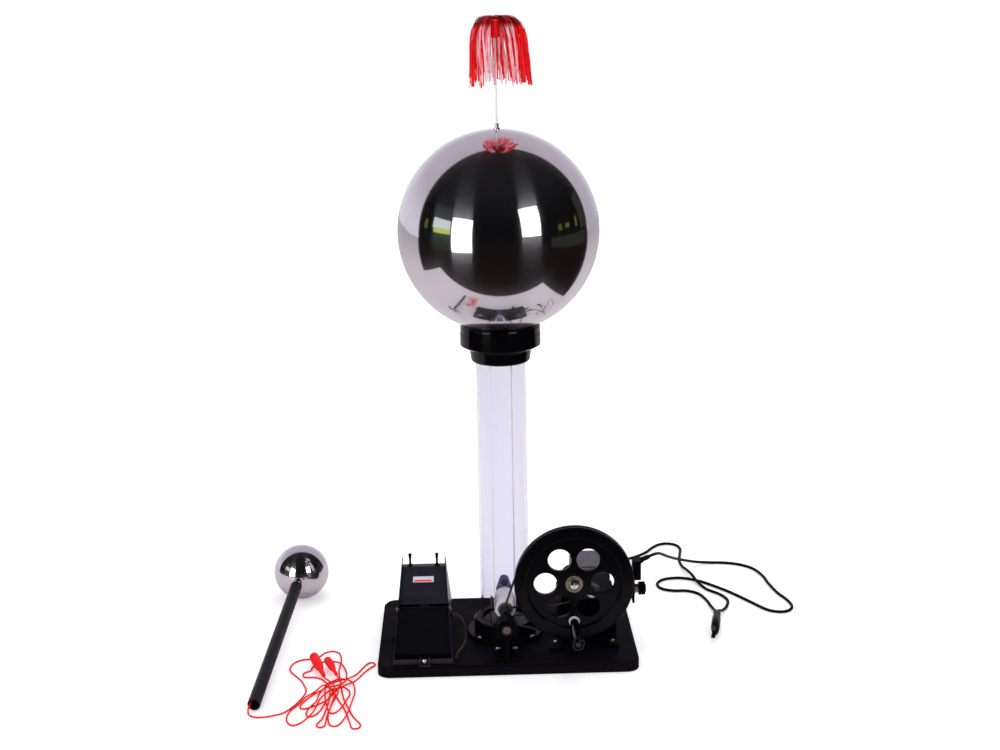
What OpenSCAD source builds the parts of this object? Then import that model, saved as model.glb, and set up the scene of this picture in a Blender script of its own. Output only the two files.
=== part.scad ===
// Van de Graaff generator with a hand crank, an electric drive and a foot speed controller.
// Millimetres. X to the right, Y to the back, Z up.
// Origin: the centre of the base board's underside.

/* [Base board] */
// Width of the base board
board_w = 400; // [360:1:480]
// Depth of the base board
board_d = 260; // [240:1:320]
// Thickness of the base board
board_t = 17; // [14:1:25]
// Radius of the board's corners in plan
board_corner = 20; // [8:1:30]
// Radius of the board's top edge
board_edge = 3; // [1:0.5:5]

/* [Column] */
// Outside diameter of the acrylic column
tube_d = 76; // [70:1:80]
// Wall of the acrylic column
tube_wall = 3; // [2:0.5:4]
// Height of the column's top above the board
tube_h = 520; // [470:1:640]
// Diameter of the foot flange
flange_d = 120; // [114:1:130]
// Thickness of the foot flange
flange_t = 7; // [5:0.5:10]
// Outside diameter of the foot's ring
ring_d = 98; // [90:1:102]
// Height of the foot's ring above the board
ring_h = 28; // [20:1:30]

/* [Dome] */
// Outside diameter of the dome
dome_d = 300; // [250:1:330]
// Wall of the dome
dome_wall = 1.5; // [1:0.25:3]
// Inside diameter of the dome's neck
neck_d = 86; // [84:1:92]
// Outside diameter of the collar
collar_d = 122; // [116:1:134]
// Height of the collar under its rim
collar_h = 44; // [36:1:60]

/* [Rollers and belts] */
// Diameter of the charge rollers
roller_d = 31; // [24:0.5:34]
// Length of the charge rollers
roller_l = 56; // [44:1:58]
// Height of the drive shaft above the board
shaft_z = 50.5; // [46:0.5:60]
// Diameter of the drive shaft
shaft_d = 8; // [6:0.5:10]
// Thickness of the charge belt
belt_t = 0.8; // [0.5:0.1:1.5]
// Diameter of the round drive belts
cord_belt_d = 3.4; // [2.5:0.1:4]
// Pitch radius of the drive pulley
drive_pitch_r = 7; // [6.5:0.25:9]

/* [Hand wheel] */
// Outside diameter of the hand wheel
wheel_d = 184; // [160:1:190]
// Width of the hand wheel's rim
wheel_w = 14; // [10:0.5:18]
// Sideways distance from the column to the wheel's axle
axle_dx = 105.5; // [103:0.5:120]
// Height of the wheel's axle above the board
axle_z = 106; // [100:0.5:130]
// Diameter of the six holes in the wheel's web
web_hole_d = 36; // [24:1:37]
// Radius of the circle that the holes lie on
web_hole_r = 44; // [40:1:46]
// Radius at which the crank handle stands
crank_r = 63; // [60:1:66]
// Length of the crank's grip
grip_l = 84; // [60:1:100]

/* [Motor] */
// Width of the motor
motor_w = 60; // [50:1:64]
// Height of the motor
motor_h = 50; // [44:1:56]
// Length of the motor's field case
motor_l = 58; // [40:1:70]
// Length of each of the motor's end bells
bell_l = 16; // [10:1:20]
// Pitch radius of the motor's pulley
motor_pitch_r = 9; // [7:0.5:12]

/* [Foot controller] */
// Width of the controller at its foot
pedal_w = 93; // [80:1:100]
// Length of the controller
pedal_l = 172; // [160:1:180]
// Thickness of its sheet steel
pedal_sheet = 1.5; // [1:0.25:2]
// Travel of the treadle in degrees
treadle_travel = 5; // [3:0.5:6]

/* [Plume and wand] */
// Diameter of the plume's rod
rod_d = 2; // [1.5:0.25:3]
// Length of the plume's rod above the dome
rod_l = 130; // [90:1:180]
// Diameter of the wand's ball
ball_d = 92; // [70:1:110]
// Diameter of the wand's handle
handle_d = 19; // [16:1:25]
// Length of the wand's handle outside the ball
handle_l = 372; // [250:1:400]

/* [Hidden] */

$fn = 64;
fit = 0.05;           // running clearance of a shaft in its bore, on the radius
gap = 0.3;            // air between pieces that move past each other
over = 1;             // how far a cut runs past the face it starts from

top = board_t;                        // the board's top face
col = [-2, -10];                      // the column's axis
shaft_c = [col.x, top + shaft_z];     // drive shaft, in X and Z
axle_c = [col.x + axle_dx, top + axle_z];
wheel_y = col.y - 60;                 // middle of the hand belt
motor_belt_y = col.y - 46;            // middle of the motor belt
roller_r = roller_d / 2;
tube_r = tube_d / 2;
dome_r = dome_d / 2;
wheel_r = wheel_d / 2;
wheel_pitch_r = wheel_r - 3;

tube_top = top + tube_h;
neck_skirt = 10;                                       // length of the dome's neck skirt
neck_out = neck_d / 2 + dome_wall;
neck_z = sqrt(dome_r * dome_r - neck_out * neck_out);  // neck below the dome's centre
seat_z = tube_top - 29;                                // seat of the skirt in the collar
dome_c = seat_z + neck_skirt + neck_z;
upper_z = tube_top + 34;                               // axis of the upper roller

// ---------- shared shapes ----------

// A cylinder along Y from y0 to y1
module along_y(x, z, y0, y1, r) {
  translate([x, y1, z]) rotate([90, 0, 0]) cylinder(r = r, h = y1 - y0);
}

// A cylinder along X from x0 to x1
module along_x(y, z, x0, x1, r) {
  translate([x0, y, z]) rotate([0, 90, 0]) cylinder(r = r, h = x1 - x0);
}

// A profile of radius and distance, revolved round an axis along -Y that starts at y
module turned_y(x, y, z) {
  translate([x, y, z]) rotate([90, 0, 0]) rotate_extrude() children();
}

module round_rect(w, d, r) {
  square([w - 2 * r, d], center = true);
  square([w, d - 2 * r], center = true);
  for (sx = [-1, 1], sy = [-1, 1]) translate([sx * (w / 2 - r), sy * (d / 2 - r)]) circle(r);
}

// A slab with round corners and a rounded top edge
module soft_slab(w, d, h, corner, edge) {
  linear_extrude(h - edge) round_rect(w, d, corner);
  linear_extrude(h) round_rect(w - 2 * edge, d - 2 * edge, corner - edge);
  translate([0, 0, h - edge]) {
    for (s = [-1, 1]) {
      translate([-(w / 2 - corner), s * (d / 2 - edge), 0]) rotate([0, 90, 0]) cylinder(r = edge, h = w - 2 * corner);
      translate([s * (w / 2 - edge), d / 2 - corner, 0]) rotate([90, 0, 0]) cylinder(r = edge, h = d - 2 * corner);
    }
    for (sx = [-1, 1], sy = [-1, 1]) translate([sx * (w / 2 - corner), sy * (d / 2 - corner), 0])
      rotate_extrude() translate([corner - edge, 0]) circle(edge);
  }
}

// A pan-head screw: head on z = 0, shank below it
module pan_screw(head_r, head_h, shank_r, shank_l) {
  difference() {
    intersection() {
      cylinder(r = head_r, h = head_h);
      translate([0, 0, head_h - head_r * 1.6]) sphere(head_r * 1.6);
    }
    for (a = [0, 90]) rotate(a) translate([-head_r * 0.6, -head_r * 0.12, head_h * 0.6]) cube([head_r * 1.2, head_r * 0.24, head_h]);
  }
  translate([0, 0, -shank_l]) cylinder(r = shank_r, h = shank_l + 0.2);
}

// A loop round two circles in a plane, from above: points where the straight runs touch
function run_angle(c1, r1, c2, r2) = acos((r1 - r2) / norm(c2 - c1));
function line_angle(c1, c2) = atan2(c2.y - c1.y, c2.x - c1.x);
function on_circle(c, r, a) = c + r * [cos(a), sin(a)];

// Points round the loop, each with the angle at which its pulley faces it
function belt_loop(c1, r1, c2, r2) =
  let (phi = line_angle(c1, c2), alpha = run_angle(c1, r1, c2, r2), n1 = ceil((360 - 2 * alpha) / 6), n2 = ceil(alpha / 6))
  concat([for (i = [0 : n1]) let (a = phi + alpha + i * (360 - 2 * alpha) / n1) [on_circle(c1, r1, a), a]],
    [for (i = [0 : n2]) let (a = phi - alpha + i * 2 * alpha / n2) [on_circle(c2, r2, a), a]]);

// A round belt round two pulleys whose centres are given in X and Z
module round_belt(c1, r1, c2, r2, y, d) {
  sides = 10;
  loop = belt_loop(c1, r1, c2, r2);
  m = len(loop) * sides;
  points = [for (q = loop, k = [0 : sides - 1]) let (out = d / 2 * cos(360 * k / sides))
    [q[0].x + out * cos(q[1]), y + d / 2 * sin(360 * k / sides), q[0].y + out * sin(q[1])]];
  polyhedron(points, [for (i = [0 : len(loop) - 1], k = [0 : sides - 1])
    let (a = i * sides + k, b = i * sides + (k + 1) % sides, c = (b + sides) % m, e = (a + sides) % m) each [[a, c, b], [a, e, c]]]);
}

// ---------- swept cords ----------

function unit(v) = v / max(norm(v), 1e-9);

// A smooth curve through the points p, n steps on each stretch
function smooth(p, n) = [
  for (i = [0 : len(p) - 2], k = [0 : n - 1])
    let (a = p[max(i - 1, 0)], b = p[i], c = p[i + 1], d = p[min(i + 2, len(p) - 1)], t = k / n)
      0.5 * (2 * b + (c - a) * t + (2 * a - 5 * b + 4 * c - d) * t * t + (3 * b - a - 3 * c + d) * t * t * t),
  p[len(p) - 1]
];

function heading(p, i) = unit(p[min(i + 1, len(p) - 1)] - p[max(i - 1, 0)]);
function square_to(t, v) = unit(v - (v * t) * t);

// Side vectors carried from ring to ring, so that the tube does not twist
function side_vectors(p, i, v, out) =
  i == len(p) ? out : let (s = square_to(heading(p, i), v)) side_vectors(p, i + 1, s, concat(out, [s]));

// One closed tube of radius r along the points p
module swept_tube(p, r, sides, first = [0, 0.1, 1]) {
  v = side_vectors(p, 0, first, []);
  m = len(p);
  ring = [for (i = [0 : m - 1]) let (t = heading(p, i), u = v[i], w = cross(t, u))
    for (k = [0 : sides - 1]) p[i] + r * (cos(360 * k / sides) * u + sin(360 * k / sides) * w)];
  skin = [for (i = [0 : m - 2], k = [0 : sides - 1])
    let (a = i * sides + k, b = i * sides + (k + 1) % sides) each [[a, b + sides, b], [a, a + sides, b + sides]]];
  last = (m - 1) * sides;
  caps = [for (k = [1 : sides - 2]) each [[0, k, k + 1], [last, last + k + 1, last + k]]];
  polyhedron(ring, concat(skin, caps));
}

// ---------- base and column ----------

lead_d = 3.6;                       // flex from the foot controller
lead_in = [-81, -104];              // hole in the board beside the controller
lead_out = [124, 10];               // hole in the board under the motor
groove_w = lead_d + 2.4;

module base_board() {
  color([0.13, 0.12, 0.14]) difference() {
    soft_slab(board_w, board_d, board_t, board_corner, board_edge);
    for (p = [lead_in, lead_out]) translate([p.x, p.y, -over]) cylinder(d = groove_w, h = board_t + 2 * over);
    translate([lead_in.x, lead_in.y - groove_w / 2, -over]) cube([lead_out.x - lead_in.x, groove_w, groove_w + over]);
    translate([lead_out.x - groove_w / 2, lead_in.y, -over]) cube([groove_w, lead_out.y - lead_in.y, groove_w + over]);
  }
}

foot_screw_r = flange_d / 2 - 5.5;
foot_screw_angles = [-42, 42, 138, 222];
plinth_h = 24;                      // the plinth inside the column
foot_floor = 2;                     // floor under the column in its groove

module column_foot() {
  color([0.07, 0.07, 0.08]) translate([col.x, col.y, top]) difference() {
    rotate_extrude() polygon([
      [0, 0], [flange_d / 2, 0], [flange_d / 2, flange_t - 1.5], [flange_d / 2 - 1.5, flange_t],
      [ring_d / 2, flange_t], [ring_d / 2, ring_h - 3], [ring_d / 2 - 3, ring_h], [tube_r + 0.1, ring_h],
      [tube_r + 0.1, foot_floor], [tube_r - tube_wall - 0.1, foot_floor], [tube_r - tube_wall - 0.1, plinth_h], [0, plinth_h]
    ]);
    for (a = foot_screw_angles) rotate(a) translate([foot_screw_r, 0, -over]) cylinder(r = 2.1, h = flange_t + 2 * over);
  }
}

module foot_screws() {
  for (a = foot_screw_angles)
    translate([col.x, col.y, top + flange_t]) rotate(a) translate([foot_screw_r, 0, 0]) pan_screw(3.8, 2.8, 2, flange_t);
}

bush_r = shaft_d / 2 + 3;

module column_tube() {
  color([0.85, 0.85, 0.95, 0.3]) difference() {
    translate([col.x, col.y, top + foot_floor]) cylinder(r = tube_r, h = tube_h - foot_floor);
    translate([col.x, col.y, top - over]) cylinder(r = tube_r - tube_wall, h = tube_h + 2 * over);
    along_y(shaft_c[0], shaft_c[1], col.y - tube_r - over, col.y + tube_r + over, bush_r);
  }
}

// Bushes in the column's walls: a spigot in the hole and a flange inside the tube
module tube_bushes() {
  flange_at = sqrt(pow(tube_r - tube_wall, 2) - pow(bush_r + 2, 2)) - 0.1;   // clear of the curved wall
  for (s = [-1, 1]) difference() {
    union() {
      a = col.y + s * (flange_at - 1.4);
      b = col.y + s * (tube_r + 1.5);
      along_y(shaft_c[0], shaft_c[1], min(a, b), max(a, b), bush_r - 0.03);
      c = col.y + s * flange_at;
      d = col.y + s * (flange_at - 1.4);
      along_y(shaft_c[0], shaft_c[1], min(c, d), max(c, d), bush_r + 2);
    }
    along_y(shaft_c[0], shaft_c[1], col.y - tube_r - 5, col.y + tube_r + 5, shaft_d / 2 + fit);
  }
}

collar_r = collar_d / 2;
cup_r = tube_r + 9;
flange_low = seat_z - 18;           // underside of the collar's wide part

module collar_cup() {
  color([0.05, 0.05, 0.06]) translate([col.x, col.y, 0]) difference() {
    rotate_extrude() difference() {
      union() {
        polygon([
          [0, seat_z - collar_h + 4], [cup_r - 2, seat_z - collar_h + 4], [cup_r, flange_low - 8],
          [collar_r, flange_low], [collar_r, seat_z], [0, seat_z]
        ]);
        translate([0, seat_z - collar_h]) square([cup_r - 6, 4.5]);
        translate([cup_r - 6, seat_z - collar_h + 4]) circle(4);
      }
      translate([-over, 0]) square([over, seat_z + over]);
    }
    translate([0, 0, seat_z - collar_h - over]) cylinder(r = tube_r + 0.1, h = collar_h + 2 * over);
  }
}

module collar_ring() {
  bead = 5;
  rim_h = 14;                       // the rim rises round the dome's skirt
  color([0.05, 0.05, 0.06]) translate([col.x, col.y, seat_z]) difference() {
    rotate_extrude() union() {
      translate([0, 0.4]) square([collar_r - 0.6, rim_h - bead - 0.4]);
      square([collar_r - 1.4, 1]);
      square([collar_r - bead - 1, rim_h]);
      translate([collar_r - bead - 0.6, rim_h - bead]) circle(bead);
    }
    translate([0, 0, -over]) cylinder(r = neck_out + gap, h = rim_h + 2 * over);
    translate([0, 0, dome_c - seat_z]) sphere(dome_r + gap);
  }
}

// ---------- dome, plume ----------

socket_h = 8.5;

module dome_shell() {
  color([0.9, 0.9, 0.92]) translate([col.x, col.y, dome_c]) difference() {
    union() {
      sphere(dome_r);
      translate([0, 0, -neck_z - neck_skirt]) cylinder(r = neck_out, h = 20);
    }
    sphere(dome_r - dome_wall);
    translate([0, 0, -neck_z - neck_skirt - over]) cylinder(r = neck_d / 2, h = 40);
    cylinder(r = 2.6, h = dome_r + over);
  }
}

module dome_socket() {
  color([0.8, 0.8, 0.8]) translate([col.x, col.y, dome_c + dome_r]) difference() {
    union() {
      translate([0, 0, -dome_wall - 4]) cylinder(r = 4.5, h = 3);
      translate([0, 0, -dome_wall - 1.2]) cylinder(r = 2.58, h = 4);
      translate([0, 0, 0.1]) cylinder(r = 4.5, h = 1.8);
      translate([0, 0, 1]) cylinder(r = 3, h = socket_h - 1);
    }
    translate([0, 0, -dome_wall - 0.5]) cylinder(r = rod_d / 2 + fit, h = 2 * socket_h);
  }
}

plume_z = dome_c + dome_r;          // top of the dome

module plume_rod() {
  color([0.85, 0.85, 0.85]) translate([col.x, col.y, plume_z - dome_wall]) cylinder(r = rod_d / 2, h = rod_l + dome_wall, $fn = 24);
}

module plume_head() {
  color([0.85, 0.05, 0.08]) translate([col.x, col.y, plume_z + rod_l]) rotate_extrude() polygon([
    [0, 0], [5, 0], [7, 2], [7, 24], [5, 26], [0, 26]
  ]);
}

// The strips: an open bell whose wall is the layer of hanging strips
module plume_strips() {
  color([0.85, 0.1, 0.12]) translate([col.x, col.y, plume_z + rod_l + 26]) rotate_extrude() polygon([
    [0, 6], [12, 6], [24, 4], [33, -3], [40, -15], [43.5, -32], [45, -60], [46, -94],
    [34, -94], [33, -60], [31, -36], [26, -22], [16, -13], [8.5, -9], [8.5, 0], [0, 0]
  ]);
}

// ---------- lower drive ----------

front_bush_y = [col.y - 108, col.y - 84];   // the bearing housing, front and back

module drive_shaft() {
  color([0.7, 0.7, 0.7]) along_y(shaft_c[0], shaft_c[1], front_bush_y[0] + 0.5, col.y + tube_r + 3, shaft_d / 2);
}

// A crowned roller along Y with a bore for its shaft and end plugs
module charge_roller(x, z) {
  turned_y(x, col.y + roller_l / 2, z) difference() {
    union() {
      square([roller_r - 0.6, roller_l]);
      polygon([[0, 1], [roller_r - 0.6, 1], [roller_r, roller_l / 2 - 6], [roller_r, roller_l / 2 + 6], [roller_r - 0.6, roller_l - 1], [0, roller_l - 1]]);
    }
    square([shaft_d / 2 + 0.02, roller_l]);
    square([9.02, 3]);
    translate([0, roller_l - 3]) square([9.02, 3]);
  }
}

module lower_roller() {
  color([0.95, 0.95, 0.93]) charge_roller(shaft_c[0], shaft_c[1]);
}

module roller_plugs() {
  color([0.45, 0.3, 0.2]) for (s = [-1, 1]) difference() {
    a = col.y + s * roller_l / 2;
    b = col.y + s * (roller_l / 2 - 3);
    along_y(shaft_c[0], shaft_c[1], min(a, b), max(a, b), 9);
    along_y(shaft_c[0], shaft_c[1], min(a, b) - over, max(a, b) + over, shaft_d / 2 + 0.02);
  }
}

pulley_flange_r = drive_pitch_r + 2;
pulley_front = wheel_y - 5;
pulley_back = motor_belt_y + 4;

// A pulley body along Y from y0 to y1 with belt grooves at the given places
module grooved_pulley(x, z, y0, y1, r, pitch, grooves, bore) {
  turned_y(x, y1, z) difference() {
    square([r, y1 - y0]);
    for (g = grooves) translate([pitch, y1 - g]) circle(cord_belt_d / 2 + gap);
    for (g = grooves) translate([pitch, y1 - g - cord_belt_d / 2 - gap]) square([r, cord_belt_d + 2 * gap]);
    square([bore, y1 - y0]);
  }
}

module drive_pulley() {
  color([0.1, 0.1, 0.11]) grooved_pulley(shaft_c[0], shaft_c[1], pulley_front, pulley_back,
    pulley_flange_r, drive_pitch_r, [wheel_y, motor_belt_y], shaft_d / 2 + 0.02);
}

comb_x = col.x - roller_r - belt_t - gap - 5;
comb_bolt = [col.x - 14, roller_l / 2 - 7];

module comb_teeth(x0, x1, z, count, pitch) {
  for (i = [0 : count - 1]) translate([0, col.y + (i - (count - 1) / 2) * pitch, z])
    rotate([90, 0, 0]) linear_extrude(0.8, center = true) polygon([[x0, -1], [x0, 1], [x1, 0]]);
}

module lower_comb() {
  l = 2 * min(
    sqrt(pow(tube_r - tube_wall - 1, 2) - pow(comb_x - 1 - col.x, 2)),   // between the tube's walls
    plate_y - col.y - 2 * gap                                            // in front of the rear plate
  );
  color([0.75, 0.6, 0.35]) difference() {
    union() {
      translate([comb_x - 1, col.y - l / 2, top + plinth_h]) cube([1.2, l, shaft_z - plinth_h + 2]);
      translate([comb_x - 1, col.y - l / 2, top + plinth_h]) cube([14, l, 1.2]);
      comb_teeth(comb_x, comb_x + 4, shaft_c[1], 13, 4);
    }
    for (s = [-1, 1]) translate([comb_bolt.x, col.y + s * comb_bolt.y, top + plinth_h - over]) cylinder(r = 1.55, h = 4);
  }
}

module comb_bolts() {
  for (s = [-1, 1]) translate([comb_bolt.x, col.y + s * comb_bolt.y, top + plinth_h + 1.2])
    pan_screw(2.9, 2, 1.5, 1.2);
}

// ---------- upper roller ----------

cheek_in = roller_l / 2 + 1.5;
cheek_t = 3;

module upper_roller() {
  color([0.95, 0.95, 0.93]) charge_roller(col.x, upper_z);
}

module upper_spindle() {
  color([0.7, 0.7, 0.7]) {
    along_y(col.x, upper_z, col.y - cheek_in - cheek_t - 0.5, col.y + cheek_in + cheek_t + 0.5, shaft_d / 2);
    for (s = [-1, 1]) difference() {
      a = col.y + s * roller_l / 2;
      b = col.y + s * (roller_l / 2 - 3);
      along_y(col.x, upper_z, min(a, b), max(a, b), 9);
    }
  }
}

// Bore of the ring cap: inside the tube's, and close enough for the cheeks to stand on the cap
frame_bore = min(tube_r - tube_wall - 1, cheek_in + cheek_t + 1.5);

// Ring cap on the tube's top with two cheeks that carry the spindle
module upper_frame() {
  color([0.6, 0.6, 0.62]) difference() {
    union() {
      translate([col.x, col.y, tube_top]) difference() {
        translate([0, 0, -8]) cylinder(r = tube_r + 1.4, h = 11);
        translate([0, 0, -8 - over]) cylinder(r = tube_r + 0.1, h = 8 + over);
        translate([0, 0, -8 - 2 * over]) cylinder(r = frame_bore, h = 20);
      }
      for (s = [-1, 1]) translate([col.x - 13, col.y + s * (cheek_in + cheek_t / 2) - cheek_t / 2, tube_top])
        cube([26, cheek_t, upper_z - tube_top]);
      for (s = [-1, 1]) along_y(col.x, upper_z, col.y + s * (cheek_in + cheek_t / 2) - cheek_t / 2,
        col.y + s * (cheek_in + cheek_t / 2) + cheek_t / 2, 13);
    }
    along_y(col.x, upper_z, col.y - 60, col.y + 60, shaft_d / 2 + fit);
  }
}

upper_comb_x = col.x + roller_r + belt_t + gap + 5;

module upper_comb() {
  color([0.75, 0.6, 0.35]) {
    translate([upper_comb_x, col.y - roller_l / 2, tube_top + 3]) cube([1.2, roller_l, upper_z - tube_top]);
    comb_teeth(upper_comb_x, upper_comb_x - 4, upper_z, 13, 4);
    translate([upper_comb_x, col.y - 20, tube_top + 3]) cube([col.x + tube_r + 1 - upper_comb_x, 40, 1.2]);
  }
}

module charge_belt() {
  w = roller_l - 8;
  belt_in = roller_r + gap;
  color([0.9, 0.88, 0.85, 0.6]) translate([col.x, col.y + w / 2, 0]) rotate([90, 0, 0]) linear_extrude(w) difference() {
    union() {
      for (z = [shaft_c[1], upper_z]) translate([0, z]) circle(belt_in + belt_t);
      translate([-belt_in - belt_t, shaft_c[1]]) square([2 * (belt_in + belt_t), upper_z - shaft_c[1]]);
    }
    for (z = [shaft_c[1], upper_z]) translate([0, z]) circle(belt_in);
    translate([-belt_in, shaft_c[1]]) square([2 * belt_in, upper_z - shaft_c[1]]);
  }
}

// ---------- front bearing ----------

block_r = 16.5;
block_foot = [36, 50, 4];
block_foot_y = [col.y - 112, col.y - 62];
block_screw_y = col.y - 72;
block_screw_x = 13.5;

module bearing_block() {
  color([0.06, 0.06, 0.07]) difference() {
    union() {
      along_y(shaft_c[0], shaft_c[1], front_bush_y[0], front_bush_y[1], block_r);
      along_y(shaft_c[0], shaft_c[1], front_bush_y[1], front_bush_y[1] + 4, 12.5);
      translate([shaft_c[0] + 4, 0, 0]) rotate([0, -90, 0]) linear_extrude(8) polygon([
        [top + 2, block_foot_y[0] + 3], [shaft_c[1], front_bush_y[0] + 1], [shaft_c[1], front_bush_y[1]],
        [top + 22, front_bush_y[1] + 3], [top + 2, block_foot_y[1] - 3]
      ]);
      translate([shaft_c[0], (block_foot_y[0] + block_foot_y[1]) / 2, top])
        soft_slab(block_foot.x, block_foot_y[1] - block_foot_y[0], block_foot.z, 5, 1);
    }
    along_y(shaft_c[0], shaft_c[1], front_bush_y[0] - over, front_bush_y[1] + 5, 7.5);
    for (s = [-1, 1]) translate([shaft_c[0] + s * block_screw_x, block_screw_y, top - over]) cylinder(r = 2.1, h = 10);
  }
}

module block_bush() {
  difference() {
    along_y(shaft_c[0], shaft_c[1], front_bush_y[0], front_bush_y[1] + 4, 7.48);
    along_y(shaft_c[0], shaft_c[1], front_bush_y[0] - over, front_bush_y[1] + 5, shaft_d / 2 + fit);
  }
}

module shaft_bushes() {
  color([0.72, 0.55, 0.3]) {
    tube_bushes();
    block_bush();
  }
}

// Steel plate that stands on the plinth behind the lower roller and stiffens the rear bearing
plate_t = 1.5;
plate_y = col.y + roller_l / 2 + 1.3;      // its front face
plate_w = 26;
plate_head_r = 8;
plate_top = shaft_z + 34.5;                // above the board
plate_foot = [16, 11];
slot_r = 5.3;                              // arched pocket in the plate's head

module rear_plate() {
  head_z = top + plate_top - plate_head_r;
  floor_z = top + plinth_h;
  color([0.4, 0.4, 0.55]) difference() {
    union() {
      translate([shaft_c[0], plate_y + plate_t, 0]) rotate([90, 0, 0]) linear_extrude(plate_t) {
        translate([0, head_z]) circle(plate_head_r);
        polygon([
          [-plate_head_r, head_z], [-plate_w / 2, head_z - 14], [-plate_w / 2, floor_z],
          [plate_w / 2, floor_z], [plate_w / 2, head_z - 14], [plate_head_r, head_z]
        ]);
      }
      translate([shaft_c[0] - plate_foot.x / 2, plate_y - plate_foot.y, floor_z])
        cube([plate_foot.x, plate_foot.y + plate_t, plate_t]);
    }
    along_y(shaft_c[0], shaft_c[1], plate_y - over, plate_y + plate_t + over, shaft_d / 2 + 0.6);
    along_y(shaft_c[0], head_z - 7, plate_y - over, plate_y + plate_t - 0.6, slot_r);
    translate([shaft_c[0] - slot_r, plate_y - over, head_z - 12])
      cube([2 * slot_r, over + plate_t - 0.6, 5]);
    translate([shaft_c[0], plate_y - plate_foot.y / 2, floor_z - over]) cylinder(r = 1.55, h = plate_t + 2 * over);
  }
}

module plate_screw() {
  translate([shaft_c[0], plate_y - plate_foot.y / 2, top + plinth_h + plate_t]) pan_screw(2.9, 2, 1.5, plate_t);
}

module block_screws() {
  for (s = [-1, 1])
    translate([shaft_c[0] + s * block_screw_x, block_screw_y, top + block_foot.z]) pan_screw(4, 3, 2, block_foot.z);
}

// ---------- hand wheel ----------

web_t = 6;
rim_in = wheel_r - 20;
hub_r = 20;
bearing_r = 13.5;
stud_r = 6;

module hand_wheel() {
  color([0.09, 0.09, 0.1]) difference() {
    turned_y(axle_c[0], wheel_y + wheel_w / 2, axle_c[1]) difference() {
      union() {
        translate([rim_in + 3, 0]) square([wheel_r - rim_in - 5, wheel_w]);
        translate([rim_in + 3, 3]) circle(3);
        translate([rim_in + 3, wheel_w - 3]) circle(3);
        translate([rim_in, 3]) square([6, wheel_w - 6]);
        translate([wheel_r - 2, 2]) circle(2);
        translate([wheel_r - 2, wheel_w - 2]) circle(2);
        translate([wheel_r - 3, 2]) square([3, wheel_w - 4]);
        translate([0, wheel_w / 2 - web_t / 2]) square([rim_in + 2, web_t]);
        translate([0, 1]) square([hub_r, wheel_w - 2]);
      }
      translate([wheel_pitch_r, wheel_w / 2]) circle(cord_belt_d / 2 + gap);
      translate([wheel_pitch_r, wheel_w / 2 - cord_belt_d / 2 - gap]) square([10, cord_belt_d + 2 * gap]);
      square([bearing_r + 0.02, wheel_w]);
    }
    for (a = [0 : 60 : 300]) along_y(axle_c[0] + web_hole_r * cos(a), axle_c[1] + web_hole_r * sin(a),
      wheel_y - wheel_w, wheel_y + wheel_w, web_hole_d / 2);
    along_y(axle_c[0], axle_c[1] - crank_r, wheel_y - wheel_w, wheel_y + wheel_w, 3.02);
  }
}

module hub_bearing() {
  color([0.75, 0.7, 0.55]) turned_y(axle_c[0], wheel_y + wheel_w / 2 - 1, axle_c[1]) difference() {
    square([bearing_r, wheel_w - 1]);
    translate([bearing_r - 4, wheel_w - 2]) square([2.2, 3]);
    square([stud_r + fit, wheel_w]);
  }
}

post_y = [col.y - 41, col.y - 31];          // the axle post, front and back faces

module axle_stud() {
  color([0.8, 0.8, 0.78]) difference() {
    union() {
      along_y(axle_c[0], axle_c[1], wheel_y - wheel_w / 2 - 1, post_y[1], stud_r);
      along_y(axle_c[0], axle_c[1], wheel_y + wheel_w / 2 - 0.5, post_y[0], stud_r + 3);
      turned_y(axle_c[0], wheel_y - wheel_w / 2 - 0.6, axle_c[1]) polygon([[0, 0], [8, 0], [8, 1.4], [6.5, 3], [0, 3.4]]);
    }
    translate([axle_c[0], wheel_y - wheel_w / 2 - 3.2, axle_c[1]]) for (a = [0, 90]) rotate([0, a, 0]) cube([1.4, 3, 8], center = true);
  }
}

grip_y = wheel_y - web_t / 2 - 3 - gap;      // back end of the grip

module crank_pin() {
  color([0.82, 0.82, 0.84]) {
    along_y(axle_c[0], axle_c[1] - crank_r, grip_y - grip_l + 4, wheel_y + web_t / 2, 3);
    turned_y(axle_c[0], wheel_y - web_t / 2, axle_c[1] - crank_r) polygon([[0, 0], [8.5, 0], [8.5, 1.2], [7, 3], [0, 3]]);
    along_y(axle_c[0], axle_c[1] - crank_r, wheel_y + web_t / 2, wheel_y + web_t / 2 + 1.5, 6);
    turned_y(axle_c[0], grip_y - grip_l + 4, axle_c[1] - crank_r) polygon([[0, 0], [5.5, 0], [5.5, 1.5], [4, 2.6], [0, 2.6]]);
  }
}

module crank_grip() {
  color([0.07, 0.07, 0.08]) turned_y(axle_c[0], grip_y, axle_c[1] - crank_r) difference() {
    union() {
      polygon([[0, 0], [6, 0], [6.6, 2], [7, 12], [8.4, grip_l * 0.45], [9.6, grip_l * 0.75], [9.8, grip_l - 7], [9.2, grip_l - 3.5], [0, grip_l - 3.5]]);
      translate([5.8, grip_l - 4]) circle(4);
      translate([0, grip_l - 10]) square([5.8, 10]);
    }
    translate([-10, -over]) square([10, grip_l + 4]);
    translate([0, -over]) square([3 + fit, grip_l + 4]);
    translate([0, grip_l - 4.3]) square([6, 10]);
  }
}

module hand_belt() {
  color([0.12, 0.12, 0.12]) round_belt(axle_c, wheel_pitch_r, shaft_c, drive_pitch_r, wheel_y, cord_belt_d);
}

// ---------- drive frame and motor ----------

frame_x = [axle_c[0] - 21.5, axle_c[0] + 68.5];
frame_y = [col.y - 74, col.y + 50];
frame_t = 8;
post_w = 38;
tab = [19, 37, 3];                  // the frame's two feet, to the left of its plate
frame_screw_at = [
  [frame_x[0] - 6, frame_y[0] + 24], [frame_x[0] - 6, frame_y[1] - 13], [frame_x[1] - 10, frame_y[0] + 12]
];

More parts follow.
